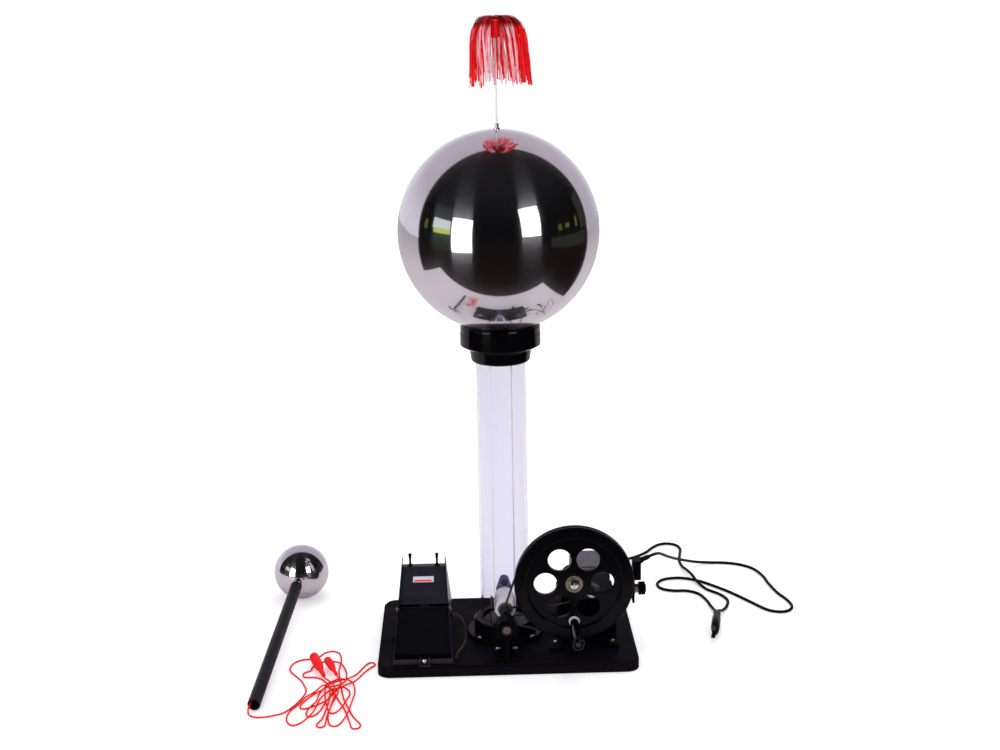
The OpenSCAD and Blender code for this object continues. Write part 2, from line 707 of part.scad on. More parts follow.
module drive_frame() {
  color([0.06, 0.06, 0.065]) difference() {
    union() {
      translate([frame_x[0], frame_y[0], top]) cube([frame_x[1] - frame_x[0], frame_y[1] - frame_y[0], frame_t]);
      for (y = [frame_y[0], frame_y[1] - tab.y]) translate([frame_x[0] - tab.x, y, top]) cube([tab.x + over, tab.y, tab.z]);
      translate([axle_c[0] - post_w / 2, post_y[0], top + frame_t - 1])
        cube([post_w, post_y[1] - post_y[0], axle_z - frame_t + 1]);
      along_y(axle_c[0], axle_c[1], post_y[0], post_y[1], post_w / 2);
    }
    along_y(axle_c[0], axle_c[1], post_y[0] - over, post_y[1] + over, stud_r + 0.02);
    for (p = frame_screw_at) translate([p.x, p.y, top - over]) cylinder(r = 2.1, h = frame_t + 2 * over);
    translate([lead_out.x, lead_out.y, top - over]) cylinder(d = groove_w, h = frame_t + 2 * over);
  }
}

module frame_screws() {
  for (p = frame_screw_at)
    translate([p.x, p.y, top + (p.x < frame_x[0] ? tab.z : frame_t)]) pan_screw(3.8, 2.8, 2, tab.z);
}

// Box under the motor, open below
saddle_y = [post_y[1] + 3, frame_y[1]];
saddle_low = top + frame_t;
saddle_top = top + 62;
saddle_wall = 3;

module motor_saddle() {
  color([0.06, 0.06, 0.065]) difference() {
    translate([frame_x[0], saddle_y[0], saddle_low]) cube([frame_x[1] - frame_x[0], saddle_y[1] - saddle_y[0], saddle_top - saddle_low]);
    translate([frame_x[0] + saddle_wall, saddle_y[0] + saddle_wall, saddle_low - over])
      cube([frame_x[1] - frame_x[0] - 2 * saddle_wall, saddle_y[1] - saddle_y[0] - 2 * saddle_wall, saddle_top - saddle_low - saddle_wall + over]);
    translate([lead_out.x, lead_out.y, saddle_low]) cylinder(d = groove_w, h = saddle_top);
  }
}

motor_c = [axle_c[0] + 30, saddle_top + motor_h / 2];   // motor shaft, in X and Z
motor_front = col.y - 28;
case_y = [motor_front + bell_l, motor_front + bell_l + motor_l];
motor_back = case_y[1] + bell_l;
motor_gland = [motor_c[0] + 20, motor_c[1] - 14];       // where the mains cord enters

module motor_section(inset, y0, y1) {
  translate([motor_c[0], y1, motor_c[1]]) rotate([90, 0, 0]) linear_extrude(y1 - y0)
    round_rect(motor_w - 2 * inset, motor_h - 2 * inset, 12 - inset);
}

module motor_case() {
  color([0.42, 0.41, 0.46]) difference() {
    motor_section(0, case_y[0], case_y[1]);
    for (s = [-1, 1], i = [-2 : 2]) translate([motor_c[0] + s * motor_w / 2, (case_y[0] + case_y[1]) / 2 + i * 6, motor_c[1]])
      cube([3, 2.4, 22], center = true);
  }
}

module motor_bells() {
  color([0.38, 0.37, 0.42]) difference() {
    union() {
      motor_section(1, motor_front + 3, case_y[0]);
      motor_section(4, motor_front, motor_front + 3);
      motor_section(1, case_y[1], motor_back - 3);
      motor_section(4, motor_back - 3, motor_back);
      along_y(motor_c[0], motor_c[1], motor_front - 4, motor_front + 1, 9);
      along_y(motor_c[0], motor_c[1], motor_back - 1, motor_back + 5, 11);
      along_y(motor_gland.x, motor_gland.y, motor_back - 1, motor_back + 4, 5);
    }
    for (a = [45 : 45 : 360]) translate([motor_c[0], motor_back, motor_c[1]]) rotate([90, a, 0])
      translate([16, 0, 0]) cylinder(r = 2.4, h = 12, center = true);
    along_y(motor_c[0], motor_c[1], motor_front - 5, motor_front + 9, 3 + fit);
  }
}

module motor_shaft() {
  color([0.7, 0.7, 0.7]) along_y(motor_c[0], motor_c[1], motor_belt_y - 5, motor_front + 9, 3);
}

module motor_pulley() {
  color([0.75, 0.75, 0.77]) grooved_pulley(motor_c[0], motor_c[1], motor_belt_y - 4, motor_belt_y + 4,
    motor_pitch_r + 2, motor_pitch_r, [motor_belt_y], 3.02);
}

module motor_belt() {
  color([0.12, 0.12, 0.12]) round_belt(motor_c, motor_pitch_r, shaft_c, drive_pitch_r, motor_belt_y, cord_belt_d);
}

// Strap from the saddle out to the terminal block at the board's right end
strap_y = [col.y - 12, col.y + 9];
strap_x = col.x + 202;
strap_t = 3;
knob_z = top + 69;
knob_x = strap_x + strap_t + 7;
block_z = [top + 86, top + 118];
terminal_gland = [strap_x + strap_t + 6, col.y + 6, top + 111];   // on the block's back right corner

module clamp_bracket() {
  color([0.08, 0.08, 0.09]) difference() {
    union() {
      translate([frame_x[1], strap_y[0], saddle_top - 22]) cube([4, strap_y[1] - strap_y[0], 22]);
      translate([frame_x[1], strap_y[0], saddle_top - 4]) cube([strap_x + 1 - frame_x[1], strap_y[1] - strap_y[0], 4]);
      translate([strap_x, strap_y[0], top + 48]) cube([strap_t, strap_y[1] - strap_y[0], block_z[1] - top - 48]);
    }
    along_x(col.y - 1, knob_z, strap_x - over, strap_x + strap_t + over, 3.02);
  }
}

module clamp_bolt() {
  color([0.8, 0.76, 0.68]) {
    along_x(col.y - 1, knob_z, strap_x - 3, knob_x + 9, 3);
    along_x(col.y - 1, knob_z, strap_x - 3, strap_x, 6);
    along_x(col.y - 1, knob_z, strap_x + strap_t, strap_x + strap_t + 1.6, 9);
    along_x(col.y - 1, knob_z, strap_x + strap_t + 1.6, knob_x - gap, 7);
  }
}

module clamp_knob() {
  color([0.05, 0.05, 0.055]) translate([knob_x, col.y - 1, knob_z]) rotate([0, 90, 0]) difference() {
    union() {
      cylinder(r = 9, h = 10);
      for (a = [0 : 60 : 300]) rotate(a) translate([8, 0, 0]) cylinder(r = 3, h = 10);
      translate([0, 0, 9]) cylinder(r = 6.5, h = 2.5);
    }
    translate([0, 0, -over]) cylinder(r = 3 + fit, h = 20);
  }
}

module terminal_block() {
  color([0.09, 0.08, 0.08]) {
    translate([strap_x + strap_t, col.y - 10, block_z[0]]) cube([10, 20, block_z[1] - block_z[0]]);
    for (z = [block_z[0] + 8, block_z[0] + 18]) along_y(strap_x + strap_t + 5, z, col.y - 11.5, col.y - 9, 3);
    translate(terminal_gland) rotate([0, 90, 45]) cylinder(r = 5, h = 9);
  }
}

// ---------- foot controller ----------

pedal_x = col.x - 128;
pedal_y = [col.y - 112, col.y - 112 + pedal_l];         // front and back of the case
pedal_lean = 6.25;                                      // the side walls lean in by this
pedal_tip = 107;                                        // height of the walls' back tips
panel_z = [69, 95];                                     // the fixed panel, low and high
panel_y = [col.y - 20, pedal_y[1] - 12];
hinge = [col.y - 30, 55];                               // in Y and height
hinge_pin_r = 2;
knuckle_r = 4.5;
treadle_slope = 29;
treadle_l = 87;
treadle_t = 2;
treadle_face = knuckle_r - 0.5;                         // top face of the plate above the hinge

// Half the width between the walls at height z above the board
function pedal_inner(z) = pedal_w / 2 - z * tan(pedal_lean) - pedal_sheet / cos(pedal_lean);

// The room between the two walls, less a clearance c at each
module between_walls(c) {
  h = pedal_tip + 10;
  translate([pedal_x, pedal_y[1] + 10, top]) rotate([90, 0, 0]) linear_extrude(pedal_y[1] - pedal_y[0] + 20)
    polygon([[-pedal_inner(0) + c, 0], [pedal_inner(0) - c, 0], [pedal_inner(h) - c, h], [c - pedal_inner(h), h]]);
}

module pedal_side(s) {
  translate([pedal_x + s * pedal_w / 2, 0, top]) rotate([0, -s * pedal_lean, 0]) translate([s > 0 ? -pedal_sheet : 0, 0, 0])
    rotate([90, 0, 90]) linear_extrude(pedal_sheet) polygon([
      [pedal_y[0], 0], [pedal_y[1], 0], [pedal_y[1], pedal_tip], [pedal_y[1] - 4, pedal_tip],
      [hinge[0] + 6, hinge[1] + 16], [hinge[0] - 4, hinge[1] + 7], [pedal_y[0], 16]
    ]);
}

// Folded sheet in the Y-Z plane between the walls
module pedal_folds() {
  t = pedal_sheet;
  intersection() {
    between_walls(-0.1);
    translate([pedal_x - pedal_w / 2, 0, top]) rotate([90, 0, 90]) linear_extrude(pedal_w) {
      polygon([[pedal_y[0], 0], [pedal_y[1], 0], [pedal_y[1], t], [pedal_y[0] + t, t], [pedal_y[0] + t, 9], [pedal_y[0], 9]]);
      polygon([
        [pedal_y[1], 0], [pedal_y[1], panel_z[1]], [panel_y[1], panel_z[1]], [panel_y[0] + 6, panel_z[0]],
        [hinge[0] + 4, hinge[1] + 7], [hinge[0] + 4 + t, hinge[1] + 6], [panel_y[0] + 7, panel_z[0] - t],
        [panel_y[1] + 0.5, panel_z[1] - t], [pedal_y[1] - t, panel_z[1] - t], [pedal_y[1] - t, 0]
      ]);
    }
  }
}

module pedal_case() {
  color([0.35, 0.34, 0.38]) difference() {
    union() {
      intersection() {
        union() for (s = [-1, 1]) pedal_side(s);
        translate([pedal_x - pedal_w, pedal_y[0], top]) cube([2 * pedal_w, pedal_l, pedal_tip + 10]);
      }
      pedal_folds();
    }
    along_x(hinge[0], top + hinge[1], pedal_x - pedal_w, pedal_x + pedal_w, hinge_pin_r + 0.02);
    along_x(lead_exit.x, lead_exit.y, pedal_x, pedal_x + pedal_w, 3.02);
    along_x(side_bush.x, side_bush.y, pedal_x - pedal_w, pedal_x, 4.02);
    along_y(clip_x, top + clip_screw_z, pedal_y[0] - over, pedal_y[0] + pedal_sheet + over, 1.6);
    for (x = peg_x) translate([x, peg_y, top + panel_z[1] - 5]) cylinder(r = 1.52, h = 6);
  }
}

module pedal_treadle() {
  back = pedal_inner(hinge[1] + knuckle_r) - 1;
  front = pedal_inner(hinge[1] - treadle_l * sin(treadle_slope)) - 1.2;
  color([0.2, 0.19, 0.21]) difference() {
    union() {
      along_x(hinge[0], top + hinge[1], pedal_x - back, pedal_x + back, knuckle_r);
      translate([pedal_x, hinge[0], top + hinge[1]]) rotate([treadle_slope, 0, 0]) {
        translate([0, 0, treadle_face - treadle_t]) linear_extrude(treadle_t)
          polygon([[-front, -treadle_l], [front, -treadle_l], [back, 0], [-back, 0]]);
        translate([-front, -treadle_l, treadle_face - 6.5]) cube([2 * front, 1.5, 6]);
        for (s = [-1, 1]) translate([s * 22 - 1, -treadle_l + 6, treadle_face - treadle_t - 2.5]) cube([2, treadle_l - 14, 3]);
      }
      translate([pedal_x, spring_y, spring_z[1]]) cylinder(r = 5, h = 11);
    }
    along_x(hinge[0], top + hinge[1], pedal_x - pedal_w, pedal_x + pedal_w, hinge_pin_r + fit);
    // the spring's boss ends under the plate's top face
    translate([pedal_x, hinge[0], top + hinge[1]]) rotate([treadle_slope, 0, 0])
      translate([-pedal_w, -2 * treadle_l, treadle_face]) cube([2 * pedal_w, 2 * treadle_l - knuckle_r - 2, 20]);
  }
}

module hinge_pin() {
  reach = pedal_inner(hinge[1]) + pedal_sheet;
  color([0.7, 0.7, 0.72]) {
    along_x(hinge[0], top + hinge[1], pedal_x - reach - 2.5, pedal_x + reach + 2.5, hinge_pin_r);
    for (x = [pedal_x - reach - 2.2, pedal_x + reach + 0.9]) along_x(hinge[0], top + hinge[1], x, x + 1.3, hinge_pin_r + 1.4);
  }
}

spring_y = col.y - 85;
spring_z = [top + pedal_sheet, top + 20];
spring_turns = 5;
spring_wire = 1.2;
spring_path = [for (i = [0 : spring_turns * 10]) let (a = 36 * i)
  [pedal_x + 4 * cos(a), spring_y + 4 * sin(a), spring_z[0] + spring_wire / 2 + 0.1
    + (spring_z[1] - spring_z[0] - spring_wire - 0.4) * i / (spring_turns * 10)]];

module treadle_spring() {
  color([0.65, 0.65, 0.67]) swept_tube(spring_path, spring_wire / 2, 6, [1, 0.1, 0]);
}

// Wire-wound speed resistor on two brackets
module speed_resistor() {
  y0 = pedal_y[1] - 75;
  z = top + pedal_sheet + 20;
  color([0.75, 0.7, 0.62]) difference() {
    union() {
      along_y(pedal_x, z, y0, y0 + 60, 11);
      for (i = [0 : 6]) along_y(pedal_x, z, y0 + 6 + i * 7.5, y0 + 9 + i * 7.5, 12.5);
      for (y = [y0 + 1, y0 + 56]) translate([pedal_x - 8, y, top + pedal_sheet]) cube([16, 3, 20]);
    }
    along_y(pedal_x, z, y0 - over, y0 + 60 + over, 5);
  }
}

peg_x = [pedal_x - 22, pedal_x + 21];
peg_y = pedal_y[1] - 6;

module pedal_pegs() {
  color([0.05, 0.05, 0.055]) for (x = peg_x) translate([x, peg_y, top + panel_z[1]]) rotate_extrude() polygon([
    [0, -4], [1.5, -4], [1.5, 0], [4.4, 0], [4.2, 1.2], [2.2, 2.2], [1.7, 6], [1.9, 12], [2.8, 19], [2.6, 20], [0, 20]
  ]);
}

panel_slope = atan2(panel_z[1] - panel_z[0], panel_y[1] - panel_y[0] - 6);

module pedal_label() {
  color([0.85, 0.84, 0.88]) translate([pedal_x - 0.5, panel_y[1], top + panel_z[1]]) rotate([panel_slope, 0, 0])
    translate([0, -29, 0]) linear_extrude(0.4) round_rect(36, 19, 1.5);
}

clip_x = pedal_x + 2;
clip_screw_z = 6;

module pedal_clip() {
  w = 16;
  color([0.3, 0.3, 0.33]) difference() {
    translate([clip_x - w / 2, pedal_y[0] - 7, top]) {
      cube([w, 7, 1.5]);
      translate([0, 5.5, 0]) cube([w, 1.5, 10]);
      for (x = [0, w - 1.5]) translate([x, 0, 0]) cube([1.5, 7, 14]);
    }
    along_y(clip_x, top + clip_screw_z, pedal_y[0] - 2, pedal_y[0] + over, 1.6);
  }
}

module clip_screw() {
  translate([clip_x, pedal_y[0] - 1.5, top + clip_screw_z]) rotate([90, 0, 0]) pan_screw(3.4, 2.6, 1.5, 4);
}

module fixing_screws() {
  color([0.78, 0.76, 0.72]) {
    foot_screws();
    comb_bolts();
    plate_screw();
    block_screws();
    frame_screws();
    clip_screw();
  }
}

lead_exit = [col.y - 26, top + 43];                     // in Y and Z
side_bush = [col.y - 62, top + 20];
gland_reach = pedal_x + pedal_inner(lead_exit.y - top) + 4;

// Rubber grommets in the foot controller's wall and the sleeves on the two mains cords
module lead_glands() {
  color([0.06, 0.06, 0.06]) {
    along_x(lead_exit.x, lead_exit.y, gland_reach - 8, gland_reach, 3);
    along_x(lead_exit.x, lead_exit.y, gland_reach - 2, gland_reach, 3.8);
    x0 = pedal_x - pedal_inner(side_bush.y - top) - 6;
    along_x(side_bush.x, side_bush.y, x0, x0 + 8, 4);
    along_x(side_bush.x, side_bush.y, x0, x0 + 3.4, 5.5);
    cord_reliefs();
  }
}

// ---------- leads and cords ----------

cord_d = 5;
red_d = 2.6;

// Beside the foot controller, then in the groove under the board
lead_path = concat(
  [[gland_reach, lead_exit.x, lead_exit.y]],
  smooth([[gland_reach + 2.5, lead_exit.x, lead_exit.y], [-76, -36, 58.4], [-68, -38, 47], [-65, -48, 33], [-66, -63, 26.5], [-70, -80, 24.5],
    [-76, -94, 24], [-80, -102, 21], [-81, -104, 15]], 2),
  [[-81, -104, 9], [-78.5, -104, 4.5], [-73, -104, 3.2], [116, -104, 3.2], [122, -102, 3.2], [124, -96, 3.2],
    [124, 3, 3.2], [124, 8.5, 4.5], [124, 10, 9], [124, 10, saddle_top]]);

module pedal_lead() {
  color([0.12, 0.12, 0.12]) swept_tube(lead_path, lead_d / 2, 8, [0, 1, 0.1]);
}

relief_at = 21;                     // a mains cord runs straight for this long out of a housing

// Mains cord from the terminal block to the plug, on the table behind and beside the board
terminal_exit = terminal_gland + 9 * [cos(45), sin(45), 0];
terminal_path = concat([for (d = [0, 0.5, 1]) terminal_exit + d * relief_at * [cos(45), sin(45), 0]],
  [terminal_exit + [22.4, 25.3, -1.3], terminal_exit + [32, 45, -7.5]],
  [[258, 79, 107], [275, 130, 82], [304, 211, 44], [346, 282, 9], [380, 292, 2.5], [418, 284, 2.5], [444, 262, 2.5],
  [456, 228, 2.5], [460, 190, 2.5], [467, 150, 2.5], [476, 122, 2.5], [480, 98, 2.5], [476, 82, 2.5], [465, 72, 2.5],
  [450, 72, 2.5], [434, 83, 2.5], [412, 118, 2.5], [388, 156, 2.5], [366, 184, 2.5], [346, 206, 2.5], [326, 220, 2.5],
  [304, 226, 2.5], [281, 220, 2.5], [268, 202, 2.5], [272, 181, 2.5], [291, 170, 2.5], [314, 168, 2.5], [332, 155, 2.5],
  [341, 130, 2.5], [345, 104, 2.5], [347, 80, 5.5], [345, 57.4, 14], [342.7, 47.7, 15]]);

module cord_terminal() {
  color([0.05, 0.05, 0.05]) swept_tube(terminal_path, cord_d / 2, 8);
}

// Mains cord from the motor, down behind it and over the board's back edge, to the same plug
motor_exit = [motor_gland.x, motor_back + 4, motor_gland.y];
drop_y = max(board_d / 2 - 32, motor_exit.y + 42);
motor_path = concat([for (d = [0, 0.5, 1]) motor_exit + [0, d * relief_at, 0]],
  [[153.7, drop_y - 13, motor_exit.z - 1.6], [153.9, drop_y - 6.2, motor_exit.z - 6.2], [154.1, drop_y - 1.6, motor_exit.z - 13],
  [154.3, drop_y, motor_exit.z - 21], [154.6, drop_y, (motor_exit.z + top) / 2 + 2], [154.8, drop_y, top + 25], [155, drop_y + 1.6, top + 16.2],
  [155, drop_y + 6.2, top + 9.4], [155, drop_y + 13, top + 4.8], [155, drop_y + 21, top + 3.2], [155, drop_y + 32, top + 3.2],
  [154, drop_y + 46, 15.5], [152, drop_y + 62, 6.5]],
  [[149, 178, 2.5], [144, 210, 2.5], [140, 245, 2.5], [148, 284, 2.5],
  [174, 307, 2.5], [206, 315, 2.5], [235, 323, 2.5], [263, 346, 2.5], [280, 371, 2.5], [294, 386, 2.5], [311, 391, 2.5],
  [325, 383, 2.5], [330, 363, 2.5], [326, 334, 2.5], [321, 305, 2.5], [322, 276, 3.5], [326, 250, 7.5], [332, 222, 8.5],
  [338, 198, 5], [350, 172, 2.5], [368, 150, 2.5], [377, 124, 2.5], [371, 98, 2.5], [360, 76, 5.5], [351, 56.5, 14],
  [348.3, 46.4, 15]]);

module cord_motor() {
  color([0.05, 0.05, 0.05]) swept_tube(motor_path, cord_d / 2, 8);
}

// Tapered strain relief along +Y round a cord of radius cord_d / 2, with three ribs
module relief_cone(l) {
  rotate([-90, 0, 0]) rotate_extrude() polygon([
    [cord_d / 2 + fit, 0], [4.4, 0], [4.4, 2], [4, 3], [4, 5], [3.7, 6], [3.7, 8.5], [4, 9], [4, 11], [3.5, 11.5],
    [3.5, 14], [3.8, 14.5], [3.8, 16.5], [3.3, 17], [3.1, l], [cord_d / 2 + fit, l]
  ]);
}

module cord_reliefs() {
  translate(motor_exit) relief_cone(relief_at - 1);
  translate(terminal_exit) rotate([0, 0, -45]) relief_cone(relief_at - 1);
}

plug_at = [345.5, 47, 15];          // back end of the plug's strain relief
plug_turn = -13.1;
relief_l = 25;
plug_l = 42;

// Along -Y from the end of the strain relief
module at_plug() {
  translate(plug_at) rotate([0, 0, plug_turn]) children();
}

module plug_body() {
  color([0.05, 0.05, 0.05]) at_plug() {
    turned_y(0, 0, 0) polygon([[0, 0], [6, 0], [6.3, 3], [6.5, relief_l + 1], [0, relief_l + 1]]);
    translate([-6.5, 0, 0]) rotate([90, 0, 90]) linear_extrude(13) polygon([
      [-relief_l, -8], [-relief_l - 10, -12], [-relief_l - 22, -14], [-relief_l - plug_l, -15],
      [-relief_l - plug_l, 15], [-relief_l - 22, 14], [-relief_l - 10, 12], [-relief_l, 8]
    ]);
  }
}

module plug_blades() {
  color([0.8, 0.76, 0.6]) at_plug() for (s = [-1, 1])
    translate([-3.15, -relief_l - plug_l - 18, s * 6.35 - 0.75]) cube([6.3, 18, 1.5]);
}

// ---------- discharge wand ----------

ball_r = ball_d / 2;
ball_wall = 1.2;
wand_at = [-345, 192, ball_r];      // centre of the ball on the table
wand_turn = -4;
wand_tilt = asin((ball_d - handle_d) / 2 / (ball_r + handle_l));
boss_y = ball_r + 1;

// Along -Y from the ball's centre to the handle's end
module at_wand() {
  translate(wand_at) rotate([wand_tilt, 0, wand_turn]) children();
}

module wand_ball() {
  color([0.85, 0.85, 0.87]) at_wand() difference() {
    union() {
      difference() {
        sphere(ball_r);
        sphere(ball_r - ball_wall);
      }
      along_y(0, 0, -boss_y, -ball_r + 7, 6.5);
    }
    along_y(0, 0, -boss_y - over, -ball_r + 7 + over, 3.02);
  }
}

module wand_handle() {
  bore = handle_d / 2 - 2;
  end = ball_r + handle_l;
  color([0.06, 0.06, 0.07]) at_wand() turned_y(0, 0, 0) polygon([
    [0, ball_r - 6], [3, ball_r - 6], [3, boss_y], [6.5, boss_y], [handle_d / 2, boss_y + 6], [handle_d / 2, end - 0.5],
    [handle_d / 2 - 0.5, end], [bore, end], [bore, end - 60], [0, end - 60]
  ]);
}

// Lead out of the wand's open end to the heap beside it
red_path = [
  [-378.6, -204, 11], [-379.8, -221, 9.6], [-381.5, -231, 6], [-379, -240, 2], [-370, -246, 1.4], [-357, -246.5, 1.4],
  [-343, -242, 1.4], [-330, -235.5, 1.4], [-320, -228, 1.4]
];

module red_lead() {
  color([0.85, 0.1, 0.12]) swept_tube(smooth(red_path, 2), red_d / 2, 8);
}

heap_h = 12;

// Outer shape of the loosely heaped lead
module red_heap() {
  color([0.85, 0.1, 0.12]) linear_extrude(heap_h) polygon([
    [-323, -224], [-317, -232], [-324, -256], [-312, -270], [-258, -276], [-224, -272], [-232, -210], [-230, -160],
    [-248, -102], [-260, -52], [-276, -32], [-296, -46], [-332, -66], [-338, -88], [-314, -135], [-306, -176]
  ]);
}

boot_l = 46;
boot_r = 5.5;
boot_tail_r = 2;

// The sleeves of two crocodile clips, lying on the heap with their tails down
module red_clips() {
  lean = asin((boot_r - boot_tail_r) / (boot_l - 16));
  color([0.85, 0.08, 0.1]) for (c = [[-300, -73, 15], [-279, -86, 20.4]])
    translate([c.x, c.y, heap_h + boot_r + 1.9]) rotate([lean, 0, c.z]) turned_y(0, 0, 0) polygon([
      [0, 0], [boot_r - 1, 0], [boot_r, 1.5], [boot_r, 16], [boot_r - 1, 22], [3.2, 32], [boot_tail_r, 38], [boot_tail_r, boot_l], [0, boot_l]
    ]);
}

base_board();
column_foot();
column_tube();
collar_cup();
collar_ring();
dome_shell();
dome_socket();
plume_rod();
plume_head();
plume_strips();
lower_roller();
roller_plugs();
drive_shaft();
drive_pulley();
shaft_bushes();
lower_comb();
upper_roller();
upper_spindle();
upper_frame();
upper_comb();
charge_belt();
bearing_block();
rear_plate();
fixing_screws();
hand_wheel();
hub_bearing();
axle_stud();
crank_pin();
crank_grip();
hand_belt();
drive_frame();
motor_saddle();
motor_case();
motor_bells();
motor_shaft();
motor_pulley();
motor_belt();
clamp_bracket();
terminal_block();
clamp_bolt();
clamp_knob();
pedal_case();
pedal_treadle();
hinge_pin();
treadle_spring();
speed_resistor();
pedal_pegs();
pedal_label();
pedal_clip();
lead_glands();
pedal_lead();
cord_motor();
cord_terminal();
plug_body();
plug_blades();
wand_ball();
wand_handle();
red_lead();
red_heap();
red_clips();
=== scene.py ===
import math
import random

import bmesh
import bpy
from mathutils import Matrix, Vector


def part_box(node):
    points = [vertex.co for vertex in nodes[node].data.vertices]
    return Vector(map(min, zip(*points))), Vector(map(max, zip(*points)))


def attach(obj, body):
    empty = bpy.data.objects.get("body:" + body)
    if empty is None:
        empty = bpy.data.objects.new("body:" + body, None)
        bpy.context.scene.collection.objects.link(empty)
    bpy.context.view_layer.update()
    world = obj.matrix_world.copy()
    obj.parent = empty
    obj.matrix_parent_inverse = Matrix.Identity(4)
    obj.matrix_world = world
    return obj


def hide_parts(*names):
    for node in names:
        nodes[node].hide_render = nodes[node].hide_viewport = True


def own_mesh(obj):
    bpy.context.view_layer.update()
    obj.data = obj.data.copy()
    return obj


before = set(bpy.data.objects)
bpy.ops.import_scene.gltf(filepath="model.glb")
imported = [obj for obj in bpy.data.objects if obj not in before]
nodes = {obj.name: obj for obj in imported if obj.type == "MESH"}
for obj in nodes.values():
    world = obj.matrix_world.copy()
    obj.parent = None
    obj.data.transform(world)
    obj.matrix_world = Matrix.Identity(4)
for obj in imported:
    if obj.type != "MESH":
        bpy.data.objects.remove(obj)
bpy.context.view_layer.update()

# ---- Camera -------------------------------------------------------------------------------
# A 54 mm lens on a 36 mm sensor, 2.2 m in front of the machine and a little above the dome,
# looking down at it.
camera_at = Vector((-0.0513, -2.216, 1.025))
camera_down, camera_turn, camera_tip = (math.radians(a) for a in (14.847, -1.243, -0.984))


def add_object(name, data):
    """A new object in the scene that shows the data."""
    made = bpy.data.objects.new(name, data)
    bpy.context.scene.collection.objects.link(made)
    return made


camera_data = bpy.data.cameras.new("camera")
camera_data.lens = 54
camera_data.sensor_width = 36
camera = add_object("camera", camera_data)
camera.matrix_world = (
    Matrix.Translation(camera_at)
    @ Matrix.Rotation(camera_turn, 4, "Z")
    @ Matrix.Rotation(math.pi / 2 - camera_down, 4, "X")
    @ Matrix.Rotation(camera_tip, 4, "Z")
)
bpy.context.scene.camera = camera

# ---- Mains cords --------------------------------------------------------------------------
# Two round black flexes, 5 mm thick, from the motor and from the terminal block to one moulded
# plug. They fall from their sleeves and lie on the table behind and beside the board.
mm = 0.001


def smooth(points, steps=6):
    """The points of a smooth line through the given ones."""
    points = [Vector(p) for p in points]
    line = []
    for i in range(len(points) - 1):
        here, there = points[i], points[i + 1]
        before = points[i - 1] if i else 2 * here - there
        after = points[i + 2] if i + 2 < len(points) else 2 * there - here
        for k in range(steps):
            t = k / steps
            line.append(0.5 * (
                2 * here + (there - before) * t
                + (2 * before - 5 * here + 4 * there - after) * t ** 2
                + (3 * here - before - 3 * there + after) * t ** 3
            ))
    return line + [points[-1]]


def round_line(name, line, diameter, closed=False, sides=3):
    """A round flex, belt or wire along a line of points."""
    data = bpy.data.curves.new(name, "CURVE")
    data.dimensions = "3D"
    data.bevel_depth = diameter / 2
    data.bevel_resolution = sides
    data.use_fill_caps = not closed
    spline = data.splines.new("POLY")
    spline.points.add(len(line) - 1)
    for point, at in zip(spline.points, line):
        point.co = (*at, 1)
    spline.use_cyclic_u = closed
    spline.use_smooth = True
    return add_object(name, data)


def bend_radius(a, b, c):
    """The radius of the circle through three points of a line."""
    twice_area = (b - a).cross(c - a).length
    return (b - a).length * (c - b).length * (c - a).length / max(2 * twice_area, 1e-12)


def ease(line, radius, rounds=400):
    """The line with its bends opened to the radius, its ends kept."""
    line = list(line)
    for _ in range(rounds):
        tight = [
            i for i in range(2, len(line) - 2)
            if bend_radius(line[i - 2], line[i], line[i + 2]) < radius
        ]
        if not tight:
            break
        for i in tight:
            line[i] = line[i].lerp((line[i - 1] + line[i + 1]) / 2, 0.5)
    return line


def put(node, **values):
    """Sets sockets of a node by their names, with _ for a space."""
    for socket, value in values.items():
        node.inputs[socket.replace("_", " ")].default_value = value


def noise(tree, place, scale, detail=3.0, stretch=None):
    """Noise in Object coordinates, stretched along an axis where stretch is given."""
    if stretch:
        mapping = tree.nodes.new("ShaderNodeMapping")
        put(mapping, Scale=stretch)
        tree.links.new(place, mapping.inputs["Vector"])
        place = mapping.outputs["Vector"]
    made = tree.nodes.new("ShaderNodeTexNoise")
    put(made, Scale=scale, Detail=detail)
    tree.links.new(place, made.inputs["Vector"])
    return made.outputs["Fac"]


def spread(tree, value, low, high):
    """A value from 0.3 to 0.7 brought to the range from low to high."""
    made = tree.nodes.new("ShaderNodeMapRange")
    put(made, From_Min=0.3, From_Max=0.7, To_Min=low, To_Max=high)
    tree.links.new(value, made.inputs["Value"])
    return made.outputs["Result"]


def blend_colours(tree, factor, first, second):
    """The first colour where factor is 0 and the second where it is 1; each may be a socket."""
    made = tree.nodes.new("ShaderNodeMix")
    made.data_type = "RGBA"
    tree.links.new(factor, made.inputs["Factor"])
    for socket, colour in (("A", first), ("B", second)):
        target = [s for s in made.inputs if s.name == socket and s.type == "RGBA"][0]
        if isinstance(colour, tuple):
            target.default_value = (*colour, 1)
        else:
            tree.links.new(colour, target)
    return [s for s in made.outputs if s.type == "RGBA"][0]


def surface(name):
    """A new material, with its tree, its shader and its Object coordinates."""
    made = bpy.data.materials.new(name)
    made.use_nodes = True
    tree = made.node_tree
    place = tree.nodes.new("ShaderNodeTexCoord").outputs["Object"]
    return made, tree, tree.nodes["Principled BSDF"], place


def bumps(tree, height, strength, distance):
    """A normal for a surface with the height in relief."""
    made = tree.nodes.new("ShaderNodeBump")
    put(made, Strength=strength, Distance=distance)
    tree.links.new(height, made.inputs["Height"])
    return made.outputs["Normal"]


